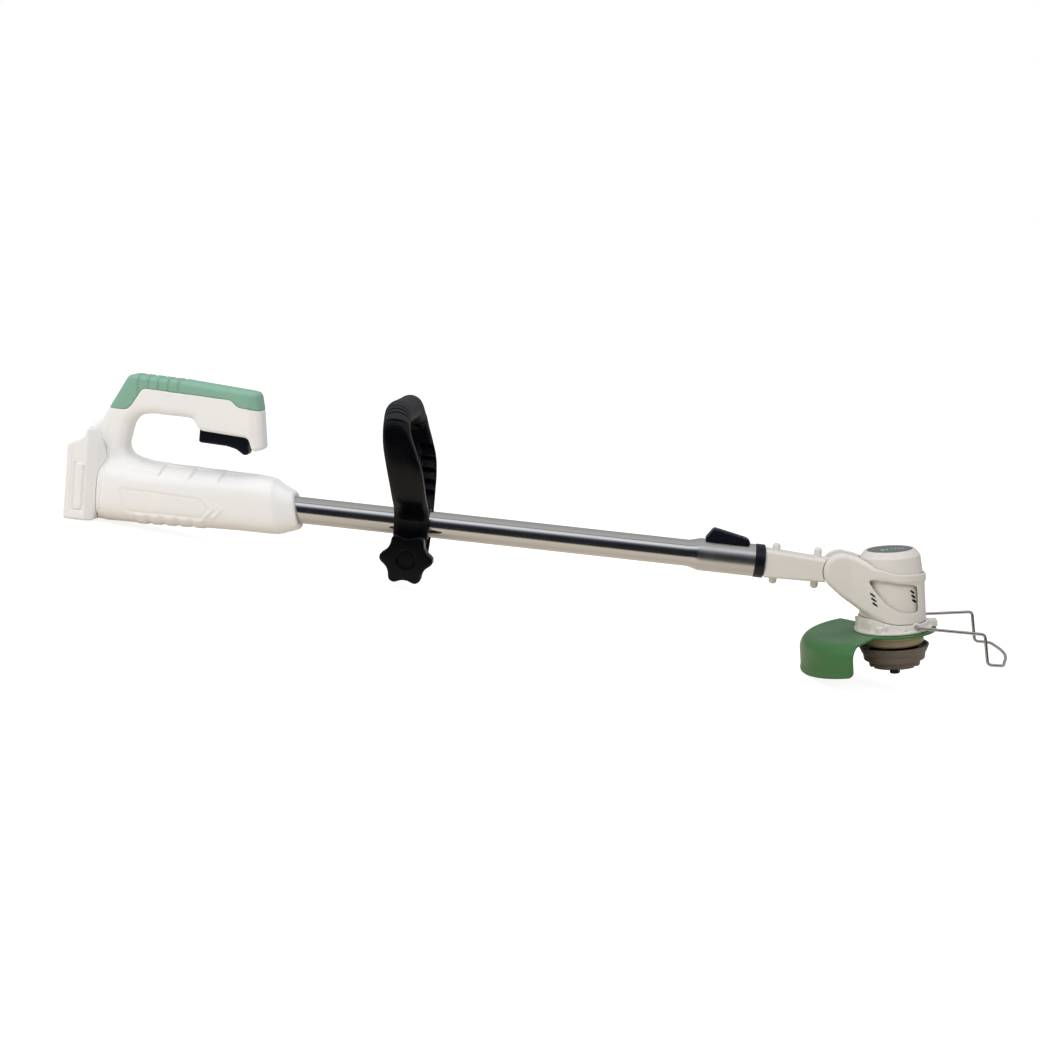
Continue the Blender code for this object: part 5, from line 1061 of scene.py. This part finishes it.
# Wire guide: one length of 3 mm spring steel, bent round to a flat bow, its two ends sprung into the
# collar's lugs.
wire_radius, hinge_half, guide_arm, guide_drop, guide_foot = 0.0015, 0.0330, 0.0640, 0.0290, 0.0150
guide_bow, guide_bend, guide_twist, guide_step, guide_in = 0.0080, 0.0037, 0.0045, 0.0040, 0.0010
slope = radians(5.0)
guide_place = (
    np.stack((cos(slope) * head[0][0] - sin(slope) * head[0][2], head[0][1],
              sin(slope) * head[0][0] + cos(slope) * head[0][2])),
    carry(np.array((hinge_x, 0.0, hinge_z)), head),
)


def bent(corners, radius, steps=8):
    """A path of straight runs whose inner corners are parabolas a radius long each way."""
    points = np.array(corners)
    corner, before, after = points[1:-1], points[:-2] - points[1:-1], points[2:] - points[1:-1]
    share = np.linspace(0.0, 1.0, steps + 1)[None, :, None]
    first = radius * before / np.linalg.norm(before, axis=1, keepdims=True)
    second = radius * after / np.linalg.norm(after, axis=1, keepdims=True)
    bend = corner[:, None] + first[:, None] * (1.0 - share) ** 2 + second[:, None] * share ** 2
    return np.vstack((points[:1], bend.reshape(-1, 3), points[-1:]))


def swept(name, path, radius, finish, place, start, sides=16):
    """A round bar carried along a path. Each ring stands on two directions square to the path, made
    from one fixed direction; each end is closed by a small dome."""
    way = np.gradient(path, axis=0)
    way /= np.linalg.norm(way, axis=1, keepdims=True)
    first = np.cross(way, np.broadcast_to(start, way.shape))
    first /= np.linalg.norm(first, axis=1, keepdims=True)
    second = np.cross(way, first)
    turn = np.linspace(0.0, 2.0 * pi, sides, endpoint=False)
    size = np.full(len(path), radius)
    dome = np.linspace(0.0, 0.5 * pi, 5)[1:]
    front = path[0] - way[0] * radius * np.sin(dome[::-1])[:, None]
    back = path[-1] + way[-1] * radius * np.sin(dome)[:, None]
    path = np.vstack((front, path, back))
    size = np.concatenate((radius * np.cos(dome[::-1]), size, radius * np.cos(dome)))
    first = np.vstack((np.repeat(first[:1], 4, axis=0), first, np.repeat(first[-1:], 4, axis=0)))
    second = np.vstack((np.repeat(second[:1], 4, axis=0), second, np.repeat(second[-1:], 4, axis=0)))
    ring = np.cos(turn)[:, None] * first[:, None] + np.sin(turn)[:, None] * second[:, None]
    points = path[:, None] + size[:, None, None] * ring
    faces = net_faces(len(path), sides)[:(len(path) - 1) * sides]
    return add_piece(name, carry(points.reshape(-1, 3), place), faces, finish, crease=50.0)


knee, foot = guide_arm + guide_step, guide_arm + guide_step + guide_foot
foot_drop, bow_half = guide_drop + guide_in, hinge_half * 0.86


def guide_side(side):
    """The corners of one side of the wire, from its end in the lug out to the bow."""
    lean = guide_twist * side
    return [
        (0.0, side * 0.0268, 0.0), (0.0, side * hinge_half, 0.0), (guide_arm, side * hinge_half, lean),
        (knee, side * hinge_half, lean - guide_drop),
        (foot, side * (hinge_half - guide_in), lean - foot_drop),
    ]


bow = [
    (foot + guide_bow * cos(0.5 * pi * s), bow_half * s, guide_twist * s - foot_drop)
    for s in (-0.75, -0.4, 0.0, 0.4, 0.75)
]
wire_path = bent(guide_side(-1.0) + bow + guide_side(1.0)[::-1], guide_bend)
wire_steel = steel("spring_wire_steel", (0.60, 0.60, 0.61, 1.0), 0.14, (120.0, 120.0, 120.0), 0.14)
wire = swept("wire_bent", wire_path, wire_radius, wire_steel, guide_place, (0.13, 0.21, 0.97), 20)
settle(wire, "guide", "polished_steel", "wire_guide")


# Second handle: a black loop that is split at the bottom and clamped round a liner on the tube. Its
# inner faces are cored into square pockets, and a ribbed rubber sleeve is pushed on its top bar.
# Each station of its centre line is y, z, x, the width along the tube and the thickness.
loop_stations = np.array((
    (0.0178, -0.0400, -0.0968, 0.0280, 0.0046), (0.0178, -0.0250, -0.0968, 0.0310, 0.0046),
    (0.0178, -0.0010, -0.0968, 0.0330, 0.0046), (0.0196, 0.0090, -0.0970, 0.0330, 0.0062),
    (0.0268, 0.0190, -0.0976, 0.0325, 0.0086), (0.0380, 0.0295, -0.0988, 0.0322, 0.0100),
    (0.0488, 0.0430, -0.1005, 0.0325, 0.0106), (0.0576, 0.0590, -0.1035, 0.0325, 0.0112),
    (0.0625, 0.0750, -0.1080, 0.0300, 0.0122), (0.0635, 0.0870, -0.1112, 0.0268, 0.0155),
    (0.0590, 0.0962, -0.1132, 0.0250, 0.0200), (0.0490, 0.1032, -0.1145, 0.0246, 0.0235),
    (0.0400, 0.1060, -0.1150, 0.0244, 0.0244), (0.0200, 0.1060, -0.1150, 0.0244, 0.0244),
))
sleeve_wall, clamp_z, clamp_room = 0.0032, -0.0305, 0.0151
pocket_start, pocket_end, pocket_pitch, pocket_inset, pocket_floor = 0.0600, 0.1240, 0.0128, 0.0026, 0.0058


def smooth_path(rows, steps):
    """Rows joined by a Catmull-Rom curve, each span cut in equal steps, the ends held straight."""
    held = np.vstack((2.0 * rows[:1] - rows[1:2], rows, 2.0 * rows[-1:] - rows[-2:-1]))
    share = np.linspace(0.0, 1.0, steps, endpoint=False)[None, :, None]
    a, b, c, d = (held[k:len(held) - 3 + k, None] for k in range(4))
    curve = 0.5 * (2.0 * b + (c - a) * share + (2.0 * a - 5.0 * b + 4.0 * c - d) * share ** 2
                   + (3.0 * b - a - 3.0 * c + d) * share ** 3)
    return np.vstack((curve.reshape(-1, rows.shape[1]), rows[-1:]))


loop_path = smooth_path(loop_stations, 6)
loop_length = np.concatenate(((0.0,), np.cumsum(np.hypot(*np.diff(loop_path[:, :2], axis=0).T))))
sleeve_start = loop_length[6 * 10]


def nearest_station(y, z):
    """For each place of the middle plane, how far along the loop's centre line its nearest point is, and
    how far off the line it lies, positive outside the loop."""
    best = np.full(np.broadcast(y, z).shape, np.inf)
    place, off = best.copy(), best.copy()
    rows = zip(loop_path[:, :2], loop_path[1:, :2], loop_length, loop_length[1:])
    for (a, b), (c, d), start, end in rows:
        share = ((y - a) * (c - a) + (z - b) * (d - b)) / ((c - a) ** 2 + (d - b) ** 2)
        low = -np.inf if start == 0.0 else 0.0
        share = np.clip(share, low, 1.0)
        away = np.hypot(y - a - share * (c - a), z - b - share * (d - b))
        side = np.sign((y - a) * (d - b) - (z - b) * (c - a))
        nearer = away < best
        best = np.where(nearer, away, best)
        place = np.where(nearer, start + share * (end - start), place)
        off = np.where(nearer, away * side, off)
    return place, off


def loop(x, y, z):
    """A band of squared section along the centre line, whose inner face has pockets between its rims and
    its cross ribs, less the space of the liner and the clamp bolt."""
    out = np.abs(y)
    place, off = nearest_station(out, z)
    middle = np.interp(place, loop_length, loop_path[:, 2])
    half = np.interp(place, loop_length, loop_path[:, 3]) / 2.0
    thick = np.interp(place, loop_length, loop_path[:, 4]) / 2.0
    squared = 1.0 - ramp(place, 0.130, 0.165)
    power = 2.0 + 1.6 * squared
    u, v = np.abs(x - middle) / half, np.abs(off) / thick
    norm = (u ** power + v ** power + 1e-9) ** (1.0 / power)
    band = slab((norm - 1.0) * thick, place - sleeve_start + gap, 0.0012)
    core = np.hypot(u * thick, v * thick) - thick + sleeve_wall
    band = meet(join(band, core), -0.0400 - z)
    past_start = (place - pocket_start) % pocket_pitch
    along_cell = np.abs(past_start - pocket_pitch / 2.0) - pocket_pitch / 2.0 + 0.0011
    across_cell = np.abs(np.abs(x - middle) - half / 2.0) - half / 2.0 + pocket_inset / 2.0
    open_range = meet(pocket_start - place, place - pocket_end)
    pocket = meet(along_cell, across_cell, off + thick - pocket_floor, open_range)
    whole = carve(band, pocket, 0.0008)
    liner_space = clamp_room - np.hypot(y, z)
    bolt_space = bolt_bore - np.hypot(x - clamp_x, z - clamp_z)
    return meet(whole, liner_space, bolt_space)


loop_black = plastic("loop_black_plastic", shade(6, 7, 12), 0.26, 0.0005, 0.00004, 0.10, 0.20)
loop_piece = moulding("loop_moulding", loop, (-0.1290, -0.0735, -0.0405), (-0.0795, 0.0735, 0.1150),
                      0.00080, loop_black, tool)
settle(loop_piece, "loop", "black_plastic", "loop_handle")


def ribbed_sleeve(name, finish, pitch=0.0042, depth=0.0014, sides=64):
    """Two tubes along the whole arch of the loop, joined at both ends. The outer one's half width and half
    thickness are the loop's own, less a groove depth * clip(1.6 cos(2 pi s / pitch) - 0.6, 0, 1)."""
    arch = np.vstack((loop_path, loop_path[::-1] * (-1.0, 1.0, 1.0, 1.0, 1.0)))
    run_along = np.concatenate(((0.0,), np.cumsum(np.hypot(*np.diff(arch[:, :2], axis=0).T))))
    ends = sleeve_start, run_along[-1] - sleeve_start
    s = np.linspace(*ends, 520)
    from_end = np.minimum(s - ends[0], ends[1] - s)
    groove = depth * np.clip(1.6 * np.cos(2.0 * pi * (s - ends[0]) / pitch) - 0.6, 0.0, 1.0)
    groove = groove * (from_end > 0.6 * pitch)
    round_end = 0.0008 - np.sqrt(np.clip(0.0008 ** 2 - np.clip(0.0008 - from_end, 0.0, None) ** 2, 0.0, None))
    y, z, x, width, thick = (np.interp(s, run_along, arch[:, k]) for k in range(5))
    way = np.stack((np.gradient(y), np.gradient(z)), axis=1)
    way /= np.linalg.norm(way, axis=1, keepdims=True)
    turn = np.linspace(0.0, 2.0 * pi, sides, endpoint=False)
    tubes = []
    for less in (groove + round_end, np.full(len(s), sleeve_wall - gap)):
        wide = (width / 2.0 - less)[:, None] * np.cos(turn)
        high = (thick / 2.0 - less)[:, None] * np.sin(turn)
        ring = x[:, None] + wide, y[:, None] - way[:, 1:] * high, z[:, None] + way[:, :1] * high
        tubes.append(np.stack(ring, axis=2))
    points = np.vstack((tubes[0], tubes[1][::-1])).reshape(-1, 3)
    return add_piece(name, carry(points, tool), net_faces(2 * len(s), sides), finish, crease=50.0)


rubber = plastic("grip_black_rubber", shade(30, 32, 36), 0.48, 0.0004, 0.00006, 0.12, 0.40)
settle(ribbed_sleeve("sleeve_ribbed", rubber), "loop", "black_rubber", "loop_grip")


# Clamp knob: a six-lobed black knob with a recess in its middle, moulded over the nut that pulls the loop's
# two ears together.
knob_face, knob_thickness, knob_radius = -0.0204, 0.0150, 0.0252
scallop_centre, scallop_radius, recess_radius = 0.0335, 0.0133, 0.0092


def knob(x, y, z):
    """A disc with six round scallops cut into its rim, both rims rounded, a deep recess in its front and a
    blind bore behind for the bolt."""
    u, v = x - clamp_x, z - clamp_z
    away, angle = np.hypot(u, v), np.arctan2(v, u)
    valley = radians(60.0) * (np.floor(angle / radians(60.0)) + 0.5)
    scallop = np.hypot(u - scallop_centre * np.cos(valley), v - scallop_centre * np.sin(valley))
    scallop = scallop - scallop_radius
    rim = carve(away - knob_radius, scallop, 0.0035)
    depth = knob_face - y
    body = slab(rim, meet(-depth, depth - knob_thickness), 0.0026)
    recess = slab(away - recess_radius, knob_thickness - 0.0050 - depth, 0.0006)
    bolt = meet(away - bolt_bore, depth - knob_thickness * 0.63)
    return meet(carve(body, recess, 0.0008), -bolt)


knob_piece = moulding("knob_six_lobes", knob, (-0.1225, -0.0358, -0.0562), (-0.0711, -0.0200, -0.0048),
                      0.00045, loop_black, tool)
settle(knob_piece, "knob", "black_plastic", "clamp_knob")


# Trigger spring: a small coil of spring wire between the trigger and the switch, which the trigger
# squeezes as it is pulled.
def helix(centre, radius, low, high, turns, per_turn=36):
    """A coil (r cos a, r sin a, rise), its turns spread evenly from low to high."""
    turn = np.linspace(0.0, 2.0 * pi * turns, turns * per_turn + 1)
    rise = np.linspace(low, high, len(turn))
    return np.stack((centre[0] + radius * np.cos(turn), centre[1] + radius * np.sin(turn), rise), axis=1)


spring_x, spring_low, spring_high, spring_wire = -0.2670, 0.0756, 0.0824, 0.0004
spring_path = helix((spring_x, 0.0), 0.0026, spring_low + spring_wire, spring_high - spring_wire, 4)
spring_steel = steel("trigger_spring_steel", (0.55, 0.55, 0.56, 1.0), 0.18, (300.0, 300.0, 300.0), 0.12)
spring = swept("coil_of_trigger", spring_path, spring_wire, spring_steel, tool, (0.0, 0.0, 1.0), 10)
settle(spring, "tool", "plain_steel", "trigger_spring")
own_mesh(spring)


# Curly lead: a coiled cable with a rubber sheath that lies in the tubes, drawn as one fixed coil from its
# rear end in the body to its front end in the neck.
lead_rear, lead_front = -0.3240, 0.2603
lead_path = helix((0.0, 0.0), 0.0064, lead_rear, lead_front, 120, 14)[:, (2, 0, 1)]
cable_black = plastic("curly_lead_sheath", shade(18, 18, 20), 0.50, 0.0010, 0.00008, 0.10)
lead = swept("lead_coiled", lead_path, 0.0017, cable_black, tool, (1.0, 0.0, 0.0), 8)
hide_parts("curly_lead")
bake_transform(lead)


# Screws and bolts: zinc-plated cross-head screws in the body and the guard, a socket-head bolt through
# the head's pivot, and the clamp's bolt with its hexagon nut on the far side.
def fastener(head_span, head_radius, tip, shank, drive, pitch=0.0011):
    """A round or hexagon head over a shank with a rolled thread, both cut by the drive's recess. The shape
    is given in (u, v, h), h along the shank towards the head."""
    low, high = head_span

    def distance(u, v, h):
        away = np.hypot(u, v)
        flats = [np.abs(u * cos(a) + v * sin(a)) for a in (0.0, pi / 3.0, 2.0 * pi / 3.0)]
        six_sided = meet(*flats)
        edge = six_sided - head_radius * cos(pi / 6.0) if drive == "nut" else away - head_radius
        top = slab(edge, np.abs(h - (low + high) / 2.0) - (high - low) / 2.0, 0.2 * (high - low))
        ridge = 0.00016 * np.cos(2.0 * pi * h / pitch + np.arctan2(v, u))
        shaft = slab(away - shank + 0.00016 + ridge, meet(tip - h, h - low - 0.0002), 0.0004)
        solid = join(top, shaft)
        arm = join(meet(np.abs(u) - 0.0005, np.abs(v) - 0.62 * head_radius),
                   meet(np.abs(v) - 0.0005, np.abs(u) - 0.62 * head_radius))
        recess = {"cross": arm, "socket": six_sided - 0.0024, "nut": away + 1.0}[drive]
        return carve(solid, meet(recess, 0.35 * low + 0.65 * high - 0.0006 - h), 0.0001)
    return distance


def across(shape, x0, z0):
    """A shape turned so that its axis h lies along Y, standing at a place of the XZ plane."""
    return lambda x, y, z: shape(x - x0, z - z0, y)


screw_steel = steel("zinc_screw_steel", (0.30, 0.30, 0.31, 1.0), 0.28, (400.0, 400.0, 400.0), 0.16)
for i, (a, b) in enumerate(screw_places):
    top = screw_top(b)
    shape = across(fastener((top - 0.0020, top), 0.0030, -0.0080, 0.0015, "cross"), a, b)
    screw = moulding(f"body_screw_{i + 1}", shape, (a - 0.0031, -0.0081, b - 0.0031),
                     (a + 0.0031, top + 0.0001, b + 0.0031), 0.00025, screw_steel, tool)
    settle(screw, "tool", "plain_steel", f"case_screw_{i + 1}")

guard_screw = fastener((0.0632, 0.0646), 0.0030, 0.0540, 0.0015, "cross")
for i, (a, b) in enumerate(guard_screws):
    screw = moulding(f"ring_screw_{i + 1}", lambda x, y, z, a=a, b=b: guard_screw(x - a, y - b, -z),
                     (a - 0.0031, b - 0.0031, -0.0647), (a + 0.0031, b + 0.0031, -0.0539), 0.00025,
                     screw_steel, head)
    settle(screw, "head", "plain_steel", f"guard_screw_{i + 1}")

pivot = across(fastener((0.0151, 0.0177), 0.0056, -0.0125, 0.0030, "socket"), 0.0, 0.0)
pivot_bolt = moulding("bolt_of_pivot", pivot, (-0.0057, -0.0126, -0.0057), (0.0057, 0.0178, 0.0057), 0.0003,
                      screw_steel, head)
settle(pivot_bolt, "head", "plain_steel", "pivot_bolt")

nut_and_bolt = across(fastener((0.0204, 0.0244), 0.0060, -0.0291, 0.0030, "nut"), clamp_x, clamp_z)
clamp_bolt = moulding("bolt_of_clamp", nut_and_bolt, (clamp_x - 0.0062, -0.0292, clamp_z - 0.0062),
                      (clamp_x + 0.0062, 0.0246, clamp_z + 0.0062), 0.0004, screw_steel, tool)
settle(clamp_bolt, "loop", "plain_steel", "clamp_bolt")


# Inner works: pieces that keep their CAD shape and get their real finish, such as a green board with its
# lacquer, sprung brass blades, ground steel pins and the motor's can.
ground_steel = steel("ground_steel", (0.58, 0.58, 0.59, 1.0), 0.16, (30.0, 320.0, 320.0), 0.14)
motor_steel = steel("motor_can_steel", (0.26, 0.26, 0.27, 1.0), 0.32, (60.0, 60.0, 200.0), 0.14)
blade_brass = steel("contact_brass", (0.76, 0.55, 0.24, 1.0), 0.22, (200.0, 200.0, 60.0), 0.16)
board_green = plastic("board_lacquer", shade(34, 92, 52), 0.30, 0.0012, 0.00008, 0.10)
inner_nylon = plastic("inner_black_nylon", shade(22, 23, 26), 0.50, 0.0008, 0.00006, 0.08)
node_finishes = {
    ground_steel: ("trigger_pin", "lock_pin", "motor_shaft", "upper_bearing", "lower_bearing"),
    motor_steel: ("motor",),
    blade_brass: ("terminal_blade_1", "terminal_blade_2"),
    board_green: ("control_board",),
    inner_nylon: ("terminal_block", "switch_module", "clamp_liner", "rear_bush", "motor_mount"),
}
for made, names in node_finishes.items():
    for name in names:
        finish_node(name, made)
